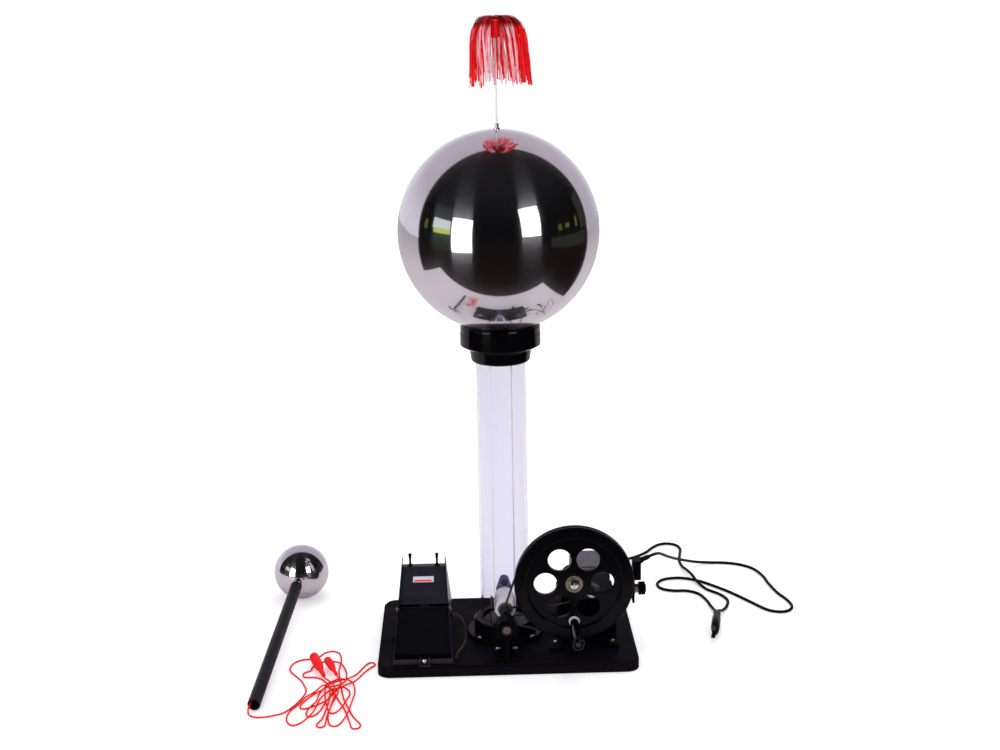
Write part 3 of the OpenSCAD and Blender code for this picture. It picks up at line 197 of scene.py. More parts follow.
def finish(name, colour, rough, metal=0.0, specular=0.5, drift=0.15, rough_drift=0.08, cloud=9.0,
           grain=900.0, relief=0.1, depth=0.0002, stretch=None, **further):
    """A surface whose colour and gloss drift, with a fine grain in relief and further sockets."""
    made, tree, shader, place = surface(name)
    clouds = spread(tree, noise(tree, place, cloud), 0, 1)
    darker = tuple(c * (1 - drift) for c in colour)
    lighter = tuple(min(1, c * (1 + drift)) for c in colour)
    tree.links.new(blend_colours(tree, clouds, darker, lighter), shader.inputs["Base Color"])
    smears = noise(tree, place, cloud * 5, 4, stretch)
    gloss = spread(tree, smears, max(0.02, rough - rough_drift), min(1, rough + rough_drift))
    tree.links.new(gloss, shader.inputs["Roughness"])
    normal = bumps(tree, noise(tree, place, grain, 2, stretch), relief, depth)
    tree.links.new(normal, shader.inputs["Normal"])
    put(shader, Metallic=metal, Specular_IOR_Level=specular, **further)
    return made


def dress(material, *names):
    """Gives CAD nodes their finish."""
    for name in names:
        nodes[name].data.materials[0] = material


cord_diameter = 5 * mm
cord_bend = 4.1 * cord_diameter
flex_black = finish(
    "flex_black", (0.0042, 0.0040, 0.0056), 0.42, grain=2600, relief=0.2, specular=0.05
)
plug_black = finish(
    "plug_black", (0.0046, 0.0044, 0.0060), 0.36, grain=3000, relief=0.15, specular=0.08
)
sleeve_rubber = finish(
    "sleeve_rubber", (0.0042, 0.0040, 0.0055), 0.6, grain=1800, relief=0.25, specular=0.06
)
pin_nickel = finish(
    "pin_nickel", (0.035, 0.035, 0.038), 0.4, 1.0, cloud=60, grain=5000, relief=0.12
)
terminal_route = [
    (215.36, 2.36, 128), (222.79, 9.79, 128), (230.21, 17.21, 128), (237.76, 27.66, 126.7),
    (247.36, 47.36, 120.5), (258, 79, 107), (275, 130, 82), (304, 211, 44), (346, 282, 9),
    (380, 292), (418, 284), (444, 262), (456, 228), (460, 190), (467, 150), (476, 122),
    (480, 98), (476, 82), (465, 72), (450, 72), (434, 83), (412, 118), (388, 156), (366, 184),
    (346, 206), (326, 220), (304, 226), (281, 220), (268, 202), (272, 181), (291, 170),
    (314, 168), (332, 155), (341, 130), (345, 104), (347, 80, 5.5), (345, 57.4, 14),
    (342.7, 47.7, 15),
]
motor_route = [
    (153.5, 56, 90), (153.5, 66.5, 90), (153.5, 77, 90), (153.7, 85, 88.4), (153.9, 91.8, 83.8),
    (154.1, 96.4, 77), (154.3, 98, 69), (154.6, 98, 55.5), (154.8, 98, 42), (155, 99.6, 33.2),
    (155, 104.2, 26.4), (155, 111, 21.8), (155, 119, 20.2), (155, 130, 20.2), (154, 144, 15.5),
    (152, 160, 6.5), (149, 178), (144, 210), (140, 245), (148, 284), (174, 307), (206, 315),
    (235, 323), (263, 346), (280, 371), (294, 386), (311, 391), (325, 382), (330.5, 363),
    (326, 334), (321, 305), (322, 276, 3.5), (326, 250, 7.5), (332, 222, 8.5), (338, 198, 5),
    (350, 172), (368, 150), (377, 124), (371, 98), (360, 76, 5.5), (351, 56.5, 14),
    (348.3, 46.4, 15),
]


def deselect():
    for other in bpy.context.selected_objects:
        other.select_set(False)


def make_mesh(made):
    """Turns a curve into a mesh and leaves it selected."""
    deselect()
    made.select_set(True)
    bpy.context.view_layer.objects.active = made
    bpy.ops.object.convert(target="MESH")


def turned_along(name, start, end, profile):
    """A turned solid from start to end, by its radii at distances from start, in millimetres."""
    way = (Vector(end) - Vector(start)).normalized()
    widest = max(radius for _, radius in profile)
    line = [(Vector(start) + way * at) * mm for at, _ in profile]
    made = round_line(name, line, 2 * widest * mm, sides=6)
    for point, (_, radius) in zip(made.data.splines[0].points, profile):
        point.radius = radius / widest
    make_mesh(made)
    bpy.ops.object.shade_smooth_by_angle(angle=math.radians(50))
    return made


def lay_cord(name, route, diameter, node, material, least_bend, body="base", **facts):
    """A free cord along a route in millimetres, on or above the table, in place of CAD nodes.

    A point of the route without a height lies on the table.
    """
    points = [Vector((*p, diameter / 2 / mm)[:3]) * mm for p in route]
    line = ease(smooth(points), least_bend)
    line = [Vector((p.x, p.y, max(p.z, diameter / 2))) for p in line]
    made = round_line(name, line, diameter)
    made.data.materials.append(material)
    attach(made, body)
    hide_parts(*node)
    return made


plug_start, plug_end = Vector((346.8, 48.0, 14.5)), Vector((332.0, -19.0, 14.5))
plug_profile = [
    (0, 5.2), (1.5, 5.8), (16, 6.2), (21, 7.4), (27, 9.6), (35, 12.2), (43, 13.4), (52, 13.8),
    (60, 13.2), (65, 11.6), (67.6, 8.6), (68.6, 4),
]
plug = turned_along("moulded_plug", plug_start, plug_end, plug_profile)
# the plug's sleeve is round; past it the body narrows to about half as wide as it is tall
sleeve_length, narrowing_length, narrowing = 14, 24, 0.48
plug_way = (plug_end - plug_start).normalized()
plug_side = Vector((-plug_way.y, plug_way.x, 0))
for vertex in plug.data.vertices:
    from_start = vertex.co - plug_start * mm
    past_sleeve = from_start.dot(plug_way) / mm - sleeve_length
    share = min(1, max(0, past_sleeve / narrowing_length))
    vertex.co -= plug_side * from_start.dot(plug_side) * narrowing * share
plug.data.materials.append(plug_black)
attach(plug, "base")
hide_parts("plug_body")
for name, route, node in (
    ("terminal_cord", terminal_route, "cord_terminal"),
    ("motor_cord", motor_route, "cord_motor"),
):
    mains_cord = lay_cord(
        name, route, cord_diameter, [node], flex_black, cord_bend,
        far_end="plug", stiffness="medium", lay="loose", with_pieces=[plug, nodes["plug_blades"]]
    )
dress(pin_nickel, "plug_blades")
dress(sleeve_rubber, "lead_glands")

# ---- Controller lead ----------------------------------------------------------------------
# A thin two-core lead held by the object all the way: out of the foot controller, through the
# board, along its groove and up to the motor.
lead_route = [
    (-85.72, -36, 60), (-83.22, -36, 60), (-76, -36, 58.4), (-68, -38, 47), (-65, -48, 33),
    (-66, -63, 26.5), (-70, -80, 24.5), (-76, -94, 24), (-80, -102, 21), (-81, -104, 15),
    (-81, -104, 9), (-78.5, -104, 4.5), (-73, -104, 3.2), (20, -104, 3.2), (116, -104, 3.2),
    (122, -102, 3.2), (124, -96, 3.2), (124, -50, 3.2), (124, 3, 3.2), (124, 8.5, 4.5),
    (124, 10, 9), (124, 10, 79),
]
lead_black = finish(
    "lead_black", (0.02, 0.017, 0.016), 0.4, drift=0.3, cloud=40, grain=2600, specular=0.6
)
lead_diameter = 3.6 * mm
controller_lead = round_line(
    "controller_lead", smooth([Vector(p) * mm for p in lead_route], 5), lead_diameter, sides=2
)
controller_lead.data.materials.append(lead_black)
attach(controller_lead, "base")
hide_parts("pedal_lead")

# ---- Red test lead ------------------------------------------------------------------------
# A limp, thin red flex from the wand's open end to two clips in soft red boots, heaped in loose
# flat loops and folds that cross at a waist.
red_diameter = 2.6 * mm
red_bend = 2.2 * red_diameter
red_route = [
    (-378.6, -204), (-379.8, -221), (-381.5, -231), (-379, -240), (-370, -246), (-357, -246.5),
    (-343, -242), (-330, -235), (-317, -214), (-307, -187), (-304, -167), (-309, -149),
    (-314, -135), (-324, -118), (-334, -101), (-336, -87), (-331, -71), (-321, -62),
    (-308, -59), (-296, -54), (-287, -39), (-275, -33), (-266, -39), (-262, -48), (-259, -70),
    (-260, -104), (-256, -131), (-253, -155), (-246, -196), (-237, -226), (-228, -253),
    (-217, -275), (-217, -285), (-223, -290), (-229, -284), (-232, -270), (-242, -231),
    (-253, -201), (-264, -172), (-280, -136), (-292, -125), (-303, -123), (-311, -122),
    (-314, -114), (-312, -107), (-304, -100), (-302, -89), (-296, -76), (-285, -70),
    (-271, -70), (-258, -84), (-249, -106), (-247, -132), (-251, -151), (-261, -159),
    (-273, -163), (-291, -179), (-302, -198), (-308, -216), (-304, -225), (-294, -221),
    (-271, -206), (-257, -171), (-246, -157), (-233, -139), (-221, -112), (-213, -97),
    (-206, -86), (-211, -76), (-220, -86), (-231, -114), (-242, -134), (-263, -152),
    (-275, -167), (-284, -180), (-285, -206), (-293, -225), (-297, -237), (-295, -247),
    (-287, -248), (-279, -236), (-271, -211), (-263, -186), (-252, -168), (-242, -167),
    (-238, -182), (-241, -205), (-247, -230), (-256, -240), (-264, -237), (-270, -217),
    (-274, -189), (-275, -160), (-268, -145), (-257, -142), (-243, -145), (-234, -156),
    (-231, -177), (-232, -202), (-237, -247), (-245, -272), (-253, -280), (-261, -273),
    (-264, -253), (-263, -229), (-259, -202), (-255, -186), (-259, -172), (-269, -175),
    (-279, -195), (-283, -216), (-286, -236), (-292, -255), (-302, -267), (-311, -274),
    (-319, -269), (-324, -252), (-321, -231), (-311, -210), (-302, -193), (-290, -176),
    (-279, -167), (-269, -174), (-266, -198), (-268, -228), (-273, -258), (-279, -274),
    (-274, -284), (-267, -277), (-265, -258), (-262, -229), (-259, -195), (-263, -166),
    (-272, -146), (-281, -136), (-285.6, -126.7), (-288.2, -117.1),
]
red_start_heights = {0: 11, 1: 9.6, 2: 6, 3: 2.2}


def heaped(route, start_heights, first, diameter, highest):
    """Heights for a flat route in millimetres: it lies on the table and goes over itself.

    start_heights gives those of the route's first points. A stretch that meets an earlier one,
    other than those before the point first, is lifted a diameter above it with its neighbours.
    """
    steps, reach, above_table, touching = 8, 5, 0.1, 0.9 * diameter
    line = smooth([(x, y, 0) for x, y in route], steps)
    lifted = []
    for i, here in enumerate(line):
        near = [
            lifted[j] for j in range(steps * first, i - steps)
            if (line[j] - here).length < diameter
        ]
        height = diameter / 2 + above_table
        while any(abs(height - other) < touching for other in near) and height < highest:
            height += diameter
        lifted.append(min(height, highest))
    return [
        (x, y, start_heights.get(i, max(lifted[max(0, steps * i - reach):steps * i + reach + 1])))
        for i, (x, y) in enumerate(route)
    ]


red_flex = finish(
    "red_flex", (0.95, 0.0065, 0.009), 0.42, drift=0.12, cloud=30, grain=2600, relief=0.2,
    specular=0.22
)
red_points = heaped(red_route, red_start_heights, first=8, diameter=red_diameter / mm, highest=9.5)
into_boot = [(-278, -140, 8), (-283, -126, 9.2), (-287, -114, 10)]
red_points[-3:] = into_boot
branch_points = [
    (-263, -180, 7), (-256, -173, 7.6), (-252, -163, 8), (-254, -150, 8.6), (-259.6, -138.1, 9.2),
    (-263.1, -128.8, 9.9),
]
clip_red = finish(
    "clip_red", (0.92, 0.0065, 0.010), 0.5, drift=0.1, cloud=40, grain=1500, relief=0.3,
    specular=0.2
)
boot_profile = [
    (0, 3.0), (2, 3.3), (12, 3.5), (20, 4.4), (27, 6.2), (33, 7.2), (46, 7.5), (58, 7.4),
    (61, 6.9), (62, 5.6),
]
boots = []
for name, tail, head, share in (
    ("clip_boot_main", (-280.2, -134, 8.8), (-302, -70, 13), 1.05),
    ("clip_boot_branch", (-261, -133, 9.6), (-280, -84, 13.4), 0.8),
):
    profile = [(at * share, radius * min(1, share)) for at, radius in boot_profile]
    boot = turned_along(name, tail, head, profile)
    boot.data.materials.append(clip_red)
    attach(boot, "wand")
    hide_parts("red_clips")
    boots.append(boot)
for name, points, node, boot in (
    ("red_test_lead", red_points, ["red_lead", "red_heap"], boots[0]),
    ("red_lead_branch", branch_points, ["red_heap"], boots[1]),
):
    red_cord = lay_cord(
        name, points, red_diameter, node, red_flex, red_bend, "wand",
        far_end="connector", stiffness="limp", lay="loose", with_pieces=[boot]
    )

# ---- Studio -------------------------------------------------------------------------------
# A white sweep behind the machine, a dark room in front of it, two tall softboxes, a lamp
# overhead and a window. The camera and clear plastic see plain white; metal sees the sweep and
# the room.
world = bpy.data.worlds.new("studio")
bpy.context.scene.world = world
world.use_nodes = True
sky = world.node_tree
sky_light = sky.nodes["Background"]
rays = sky.nodes.new("ShaderNodeLightPath").outputs


def math_node(tree, operation, first, second=None, third=None):
    """The result of a Math node on numbers and sockets."""
    made = tree.nodes.new("ShaderNodeMath")
    made.operation = operation
    for socket, value in zip(made.inputs, (first, second, third)):
        if isinstance(value, (int, float)):
            socket.default_value = value
        elif value is not None:
            tree.links.new(value, socket)
    return made.outputs["Value"]


def step_between(tree, value, start, end):
    """0 below start, 1 above end and a smooth step between them."""
    made = tree.nodes.new("ShaderNodeMapRange")
    made.interpolation_type = "SMOOTHSTEP"
    put(made, From_Min=start, From_Max=end)
    tree.links.new(value, made.inputs["Value"])
    return made.outputs["Result"]


def split_axes(tree, place):
    """The X, Y and Z of a place or a direction, by their letters."""
    made = tree.nodes.new("ShaderNodeSeparateXYZ")
    tree.links.new(place, made.inputs["Vector"])
    return made.outputs


direction = split_axes(sky, sky.nodes.new("ShaderNodeTexCoord").outputs["Generated"])
side, back, height = direction["X"], direction["Y"], direction["Z"]
# the sweep starts where the direction turns away from the front, earlier on the left
sweep_side, sweep_height = -0.126, -0.065
sweep_start, sweep_full = 0.315, 0.37
turned = math_node(sky, "MULTIPLY_ADD", side, sweep_side, back)
turned = math_node(sky, "MULTIPLY_ADD", height, sweep_height, turned)
in_sweep = step_between(sky, turned, sweep_start, sweep_full)
room_low, room_high = (0.0022, 0.0022, 0.0026), (0.011, 0.0105, 0.011)
room = blend_colours(sky, step_between(sky, height, 0.2, 0.95), room_low, room_high)
# the sweep darkens to the right and upwards
sweep_left, sweep_right, sweep_top = (0.86, 0.835, 0.915), (0.53, 0.51, 0.565), (0.60, 0.54, 0.60)
sweep = blend_colours(sky, step_between(sky, side, 0.1, 0.75), sweep_left, sweep_right)
sweep = blend_colours(sky, step_between(sky, height, 0.0, 0.5), sweep, sweep_top)
metal_sees = blend_colours(sky, in_sweep, room, sweep)
plain = math_node(sky, "MAXIMUM", rays["Is Camera Ray"], rays["Is Transmission Ray"])
seen = blend_colours(sky, rays["Is Glossy Ray"], (0.66, 0.65, 0.675), metal_sees)
sky.links.new(blend_colours(sky, plain, seen, (1.0, 1.0, 1.0)), sky_light.inputs["Color"])


def area_lamp(name, at, target, width, tall, energy):
    """A flat lamp aimed at the target, unseen by the camera."""
    light = bpy.data.lights.new(name, "AREA")
    light.shape = "RECTANGLE"
    light.size, light.size_y = width, tall
    light.energy = energy
    lamp = add_object(name, light)
    lamp.location = at
    lamp.rotation_euler = (Vector(target) - lamp.location).to_track_quat("-Z", "Y").to_euler()
    lamp.visible_camera = False
    return lamp


softbox_glow, overhead_size, overhead_energy = 3.6, 2.4, 34
for name, at, width, tall in (
    ("softbox_left", (-1.74, -1.93, 0.77), 1.08, 1.62),
    ("softbox_right", (1.43, -2.04, 1.39), 0.98, 1.36),
):
    area_lamp(name, at, (0, 0, 0.66), width, tall, softbox_glow * math.pi * width * tall)
overhead = area_lamp(
    "overhead", (0.2, 0.6, 3.0), (0, 0, 0.45), overhead_size, overhead_size, overhead_energy
)
overhead.visible_glossy = False
dome_middle = Vector((0, -0.01, 0.66))


def panel(name, left, right, low, high, colour, distance=2.8):
    """A glowing rectangle in the room, between angles in degrees seen from the dome.

    Angles across count from the front to the right. Only polished metal shows it.
    """
    corners = []
    for across, up in ((left, low), (right, low), (right, high), (left, high)):
        turn, rise = math.radians(across), math.radians(up)
        towards = Vector((math.sin(turn), -math.cos(turn), math.tan(rise)))
        corners.append(dome_middle + distance * towards)
    data = bpy.data.meshes.new(name)
    data.from_pydata([tuple(c) for c in corners], [], [(0, 1, 2, 3)])
    made = add_object(name, data)
    glow = bpy.data.materials.new(name)
    glow.use_nodes = True
    glow.node_tree.nodes.clear()
    emission = glow.node_tree.nodes.new("ShaderNodeEmission")
    put(emission, Color=(*colour, 1))
    out = glow.node_tree.nodes.new("ShaderNodeOutputMaterial")
    glow.node_tree.links.new(emission.outputs["Emission"], out.inputs["Surface"])
    data.materials.append(glow)
    for ray in ("camera", "diffuse", "shadow", "transmission"):
        setattr(made, "visible_" + ray, False)


for room_part in (
    ("window", -79, -56, 6.5, 15.3, (0.85, 0.97, 0.9)),
    ("window_foot", -77.5, -55.5, 2.6, 6.3, (0.75, 0.85, 0.12)),
    ("window_beside", -91, -87, 4, 11, (0.16, 0.17, 0.03)),
    ("window_wall", -84, -57, 17, 27, (0.014, 0.026, 0.024)),
    ("wall_left", -82, -54, -11.5, 1.5, (0.012, 0.021, 0.021)),
    ("wall_right", 101, 112, -1, 22, (0.032, 0.034, 0.024)),
    ("wall_below", 58, 108, -11.5, -2.5, (0.028, 0.03, 0.026)),
    ("lamp_one", 68, 73, 2.5, 8, (0.10, 0.12, 0.02)),
    ("lamp_two", 78, 84, 3.5, 7, (0.14, 0.15, 0.04)),
    ("lamp_three", 93, 97, 2, 9, (0.12, 0.12, 0.03)),
):
    panel(*room_part)

# ---- Table --------------------------------------------------------------------------------
# A white top that takes the machine's shadow and is pure white to the camera farther off. Metal
# sees a white sheet, about 1.8 m wide, on a dark floor in front of it and beside it.
table_size, table_drop = 14, 0.0004
bpy.ops.mesh.primitive_plane_add(size=table_size, location=(0, 0, -table_drop))
table = bpy.context.object
table.name = "table"
bpy.ops.object.transform_apply(location=True)
table_white, top, shader, spot = surface("table_white")
put(shader, Roughness=0.7, Specular_IOR_Level=0.0, Emission_Color=(1, 1, 1, 1))
rays = top.nodes.new("ShaderNodeLightPath").outputs


def vector_node(tree, operation, first, second=None):
    """The outputs of a Vector Math node on a socket and a vector."""
    made = tree.nodes.new("ShaderNodeVectorMath")
    made.operation = operation
    tree.links.new(first, made.inputs[0])
    if second is not None:
        made.inputs[1].default_value = second
    return made.outputs


def band(tree, value, start, end, edge):
    """1 from start to end and 0 beyond the soft edges outside them."""
    rise = step_between(tree, value, start - edge, start)
    fall = math_node(tree, "SUBTRACT", 1, step_between(tree, value, end, end + edge))
    return math_node(tree, "MULTIPLY", rise, fall)


def show_mix(tree, factor, first, second):
    """Shows the first shader where factor is 0 and the second where it is 1."""
    made = tree.nodes.new("ShaderNodeMixShader")
    if isinstance(factor, float):
        made.inputs["Fac"].default_value = factor
    else:
        tree.links.new(factor, made.inputs["Fac"])
    tree.links.new(first, made.inputs[1])
    tree.links.new(second, made.inputs[2])
    tree.links.new(made.outputs["Shader"], tree.nodes["Material Output"].inputs["Surface"])


in_metal = math_node(
    top, "MULTIPLY", rays["Is Glossy Ray"],
    math_node(top, "SUBTRACT", 1, rays["Is Transmission Ray"])
)
# the top glows to the camera, more from 0.75 to 1.5 m out, and through clear plastic
glow_near, glow_more, glow_through = 0.32, 0.75, 0.15
far = step_between(top, vector_node(top, "LENGTH", spot)["Value"], 0.75, 1.5)
glow = math_node(top, "MULTIPLY_ADD", far, glow_more, glow_near)
glow = math_node(top, "MULTIPLY", rays["Is Camera Ray"], glow)
glow = math_node(top, "MULTIPLY_ADD", rays["Is Transmission Ray"], glow_through, glow)
top.links.new(glow, shader.inputs["Emission Strength"])
table_colour = blend_colours(top, in_metal, (0.86, 0.86, 0.87), (0.76, 0.70, 0.715))
top.links.new(table_colour, shader.inputs["Base Color"])
sheet_left, sheet_right, sheet_front, sheet_edge = -1.2, 0.57, -0.36, 0.02
axes = split_axes(top, spot)
on_sheet = math_node(
    top, "MULTIPLY", band(top, axes["X"], sheet_left, sheet_right, sheet_edge),
    step_between(top, axes["Y"], sheet_front - sheet_edge, sheet_front)
)
# the floor turns white in the same direction as the sweep
from_dome = vector_node(top, "SUBTRACT", spot, dome_middle)["Vector"]
from_dome = vector_node(top, "NORMALIZE", from_dome)["Vector"]
away = vector_node(top, "DOT_PRODUCT", from_dome, (sweep_side, 1, sweep_height))["Value"]
white = math_node(top, "MAXIMUM", on_sheet, step_between(top, away, sweep_start, sweep_full))
dark_floor = math_node(top, "MULTIPLY", math_node(top, "SUBTRACT", 1, white), in_metal)
dark = top.nodes.new("ShaderNodeEmission")
put(dark, Color=(0.0075, 0.0035, 0.0035, 1))
show_mix(top, dark_floor, shader.outputs["BSDF"], dark.outputs["Emission"])
table.data.materials.append(table_white)

# ---- Base board ---------------------------------------------------------------------------
# A thick board with round corners, faced in black laminate with a fine leathery grain, that
# carries the machine. Its groove underneath takes the controller's lead.
board_black = finish(
    "board_black", (0.0042, 0.0036, 0.0058), 0.55, drift=0.12, cloud=5, grain=1400, relief=0.35,
    depth=0.00012, specular=0.02
)
dress(board_black, "base_board")

# ---- Column foot, collar and collar ring --------------------------------------------------
# Turned and polished black plastic. The foot is screwed down round the column, the collar sits
# on the column's top end, and the ring traps the dome's neck.
gloss_black = finish(
    "gloss_black", (0.0014, 0.0013, 0.0018), 0.13, rough_drift=0.03, cloud=14, grain=300,
    relief=0.02, specular=0.22
)
foot_black = finish(
    "foot_black", (0.0024, 0.0022, 0.0032), 0.28, cloud=14, grain=900, relief=0.05,
    specular=0.07
)
dress(gloss_black, "collar_cup", "collar_ring")
dress(foot_black, "column_foot")

# ---- Fixings and shafts -------------------------------------------------------------------
# Zinc plated pan head screws and hinge pin. The motor's shaft and the upper roller's spindle are
# drawn steel, and the drive shaft is steel that has darkened.
zinc = finish("zinc", (0.78, 0.76, 0.74), 0.26, 1.0, cloud=120, grain=3000, relief=0.2)
steel = finish("steel", (0.62, 0.62, 0.64), 0.22, 1.0, cloud=80, grain=2000, relief=0.15)
dark_steel = finish("dark_steel", (0.13, 0.125, 0.12), 0.36, 1.0, cloud=80, grain=2000, relief=0.15)
dress(zinc, "fixing_screws", "hinge_pin")
dress(steel, "upper_spindle", "motor_shaft")
dress(dark_steel, "drive_shaft")

# ---- Column -------------------------------------------------------------------------------
# A clear extruded acrylic tube, 76 mm outside with a 3 mm wall, with a faint lilac cast and
# the soft vertical die lines of an extrusion.
acrylic, tree, shader, place = surface("clear_acrylic")
# an index below that of acrylic, for edges that bend the light only a little
put(shader, Transmission_Weight=1.0, IOR=1.15)
streaks = spread(tree, noise(tree, place, 60, 3, (1, 1, 0.02)), 0, 1)
tint = blend_colours(tree, streaks, (0.852, 0.846, 0.905), (0.879, 0.873, 0.923))
tree.links.new(tint, shader.inputs["Base Color"])
haze = spread(tree, noise(tree, place, 35, 4, (1, 1, 0.05)), 0.0, 0.02)
tree.links.new(haze, shader.inputs["Roughness"])
rays = tree.nodes.new("ShaderNodeLightPath").outputs
open_air = tree.nodes.new("ShaderNodeBsdfTransparent")
put(open_air, Color=(0.985, 0.98, 0.99, 1))
# shadows and soft light pass through it
passing = math_node(tree, "MAXIMUM", rays["Is Shadow Ray"], rays["Is Diffuse Ray"])
show_mix(tree, passing, shader.outputs["BSDF"], open_air.outputs["BSDF"])
dress(acrylic, "column_tube")

# ---- Rollers, shafts, belt and combs ------------------------------------------------------
# White nylon rollers carry a thin pale rubber belt, the upper one in an aluminium frame. Brown
# fibre plugs hold the lower roller on the shaft, which runs in bronze bushes, and a row of dark
# bronze points stands at each roller.
nylon = finish(
    "nylon", (0.80, 0.79, 0.77), 0.45, drift=0.05, cloud=30, grain=1200, relief=0.15,
    Subsurface_Weight=0.15, Subsurface_Scale=0.004
)
# the lower roller's nylon is painted lighter than the upper roller's: painted light for the light
# that the dome keeps off it
lower_nylon_painted_light = finish(
    "lower_nylon_painted_light", (0.95, 0.94, 0.94), 0.45, drift=0.04, cloud=30, grain=1200, relief=0.15
)
fibre = finish("fibre", (0.20, 0.11, 0.055), 0.6, drift=0.3, cloud=160, grain=1600, relief=0.5)
belt_pale = finish(
    "belt_pale", (0.79, 0.775, 0.85), 0.6, drift=0.04, cloud=12, grain=1800, relief=0.1,
    stretch=(1, 1, 0.1), specular=0.15, Subsurface_Weight=0.5, Subsurface_Scale=0.003
)
bronze = finish("bronze", (0.30, 0.20, 0.12), 0.34, 1.0, cloud=90, grain=2200, relief=0.2)
aluminium = finish("aluminium", (0.70, 0.70, 0.73), 0.34, 1.0, cloud=60, grain=2400, relief=0.2)
black_moulding = finish(
    "black_moulding", (0.0020, 0.0018, 0.0026), 0.34, cloud=30, grain=1500, relief=0.1,
    specular=0.03
)
violet_lacquer = finish(
    "violet_lacquer", (0.13, 0.125, 0.30), 0.35, drift=0.2, cloud=60, grain=1200, relief=0.15
)
comb_bronze = finish(
    "comb_bronze", (0.045, 0.036, 0.026), 0.42, 1.0, cloud=90, grain=2200, relief=0.2
)
shaft_axis = Vector((-2, 0, 67.5)) * mm
hole_shade_axis = Vector((-2, 0, 88.5)) * mm


def paint_over(material, colour, share, metal=None):
    """Lays a colour over a finish where share, a function of the tree and the axes, is 1."""
    tree = material.node_tree
    shader = tree.nodes["Principled BSDF"]
    axes = split_axes(tree, tree.nodes["Texture Coordinate"].outputs["Object"])
    mask = share(tree, axes)
    below = shader.inputs["Base Color"].links[0].from_socket
    tree.links.new(blend_colours(tree, mask, below, colour), shader.inputs["Base Color"])
    if metal is not None:
        old = shader.inputs["Metallic"].default_value
        shown = math_node(tree, "MULTIPLY_ADD", mask, metal - old, old)
        tree.links.new(shown, shader.inputs["Metallic"])


def off_axis(tree, axes, axis):
    """The distance in X and Z from a line that runs front to back."""
    x = math_node(tree, "SUBTRACT", axes["X"], axis.x)
    z = math_node(tree, "SUBTRACT", axes["Z"], axis.z)
    squares = math_node(tree, "MULTIPLY_ADD", x, x, math_node(tree, "MULTIPLY", z, z))
    return math_node(tree, "SQRT", squares)


def roller_face(tree, axes):
    """The middle of the lower roller's front end."""
    outside, inside, behind, ahead = 12.2 * mm, 11.6 * mm, -37.4 * mm, -37.6 * mm
    disc = step_between(tree, off_axis(tree, axes, shaft_axis), outside, inside)
    return math_node(tree, "MULTIPLY", disc, step_between(tree, axes["Y"], behind, ahead))


def bush_flange(tree, axes):
    """All of a bush but the ring round its bore."""
    ring, flange = 5.0 * mm, 5.3 * mm
    return step_between(tree, off_axis(tree, axes, shaft_axis), ring, flange)


def painted_hole_shade(tree, axes):
    """Painted shade of a round hole above the shaft, as a dark disc."""
    outside, inside = 5.6 * mm, 5.2 * mm
    return step_between(tree, off_axis(tree, axes, hole_shade_axis), outside, inside)


# a fibre face on the lower roller, black round the bushes and painted shade for a hole in the plate
paint_over(lower_nylon_painted_light, (0.21, 0.12, 0.06), roller_face)
paint_over(bronze, (0.006, 0.0055, 0.007), bush_flange, 0.0)
paint_over(violet_lacquer, (0.012, 0.012, 0.02), painted_hole_shade)
dress(nylon, "upper_roller")
dress(lower_nylon_painted_light, "lower_roller")
dress(fibre, "roller_plugs")
dress(belt_pale, "charge_belt")
dress(bronze, "shaft_bushes")
dress(comb_bronze, "lower_comb", "upper_comb")
dress(aluminium, "upper_frame", "motor_pulley")
dress(black_moulding, "drive_pulley")
dress(violet_lacquer, "rear_plate")

# ---- Dome ---------------------------------------------------------------------------------
# Two halves of thin steel, spun over a former, polished and joined, with a short neck that
# stands in the collar. The spinning leaves fine rings round the sphere.
dome_wall = 1.5 * mm
neck_radius = 44.5 * mm


def amid(low, high, height):
    """The middle of a box across the table, at a height."""
    return Vector(((low[0] + high[0]) / 2, (low[1] + high[1]) / 2, height))


def settle(made):
    """Puts the piece's place into its mesh and leaves its object at the origin."""
    bpy.ops.object.transform_apply(location=True, rotation=True, scale=True)
    return made


dome_low, dome_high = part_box("dome_shell")
dome_radius = (dome_high[0] - dome_low[0]) / 2
dome_centre = amid(dome_low, dome_high, dome_high[2] - dome_radius)
deselect()
bpy.ops.mesh.primitive_uv_sphere_add(
    segments=160, ring_count=96, radius=dome_radius, location=dome_centre
)
dome = settle(bpy.context.object)
dome.name = "spun_dome"
bpy.ops.object.mode_set(mode="EDIT")
bpy.ops.mesh.select_all(action="SELECT")
mouth = dome_centre.z - math.sqrt(dome_radius ** 2 - neck_radius ** 2)
bpy.ops.mesh.bisect(plane_co=(0, 0, mouth), plane_no=(0, 0, 1), clear_inner=True)
bpy.ops.object.mode_set(mode="OBJECT")
for vertex in dome.data.vertices:
    vertex.select = abs(vertex.co.z - mouth) < 1e-5
for edge in dome.data.edges:
    edge.select = all(dome.data.vertices[v].select for v in edge.vertices)
bpy.ops.object.mode_set(mode="EDIT")
bpy.ops.mesh.extrude_region_move(TRANSFORM_OT_translate={"value": (0, 0, dome_low[2] - mouth)})
bpy.ops.object.mode_set(mode="OBJECT")
wall = dome.modifiers.new("wall", "SOLIDIFY")
wall.thickness = dome_wall
wall.offset = -1
bpy.ops.object.modifier_apply(modifier=wall.name)
bpy.ops.object.shade_smooth_by_angle(angle=math.radians(40))

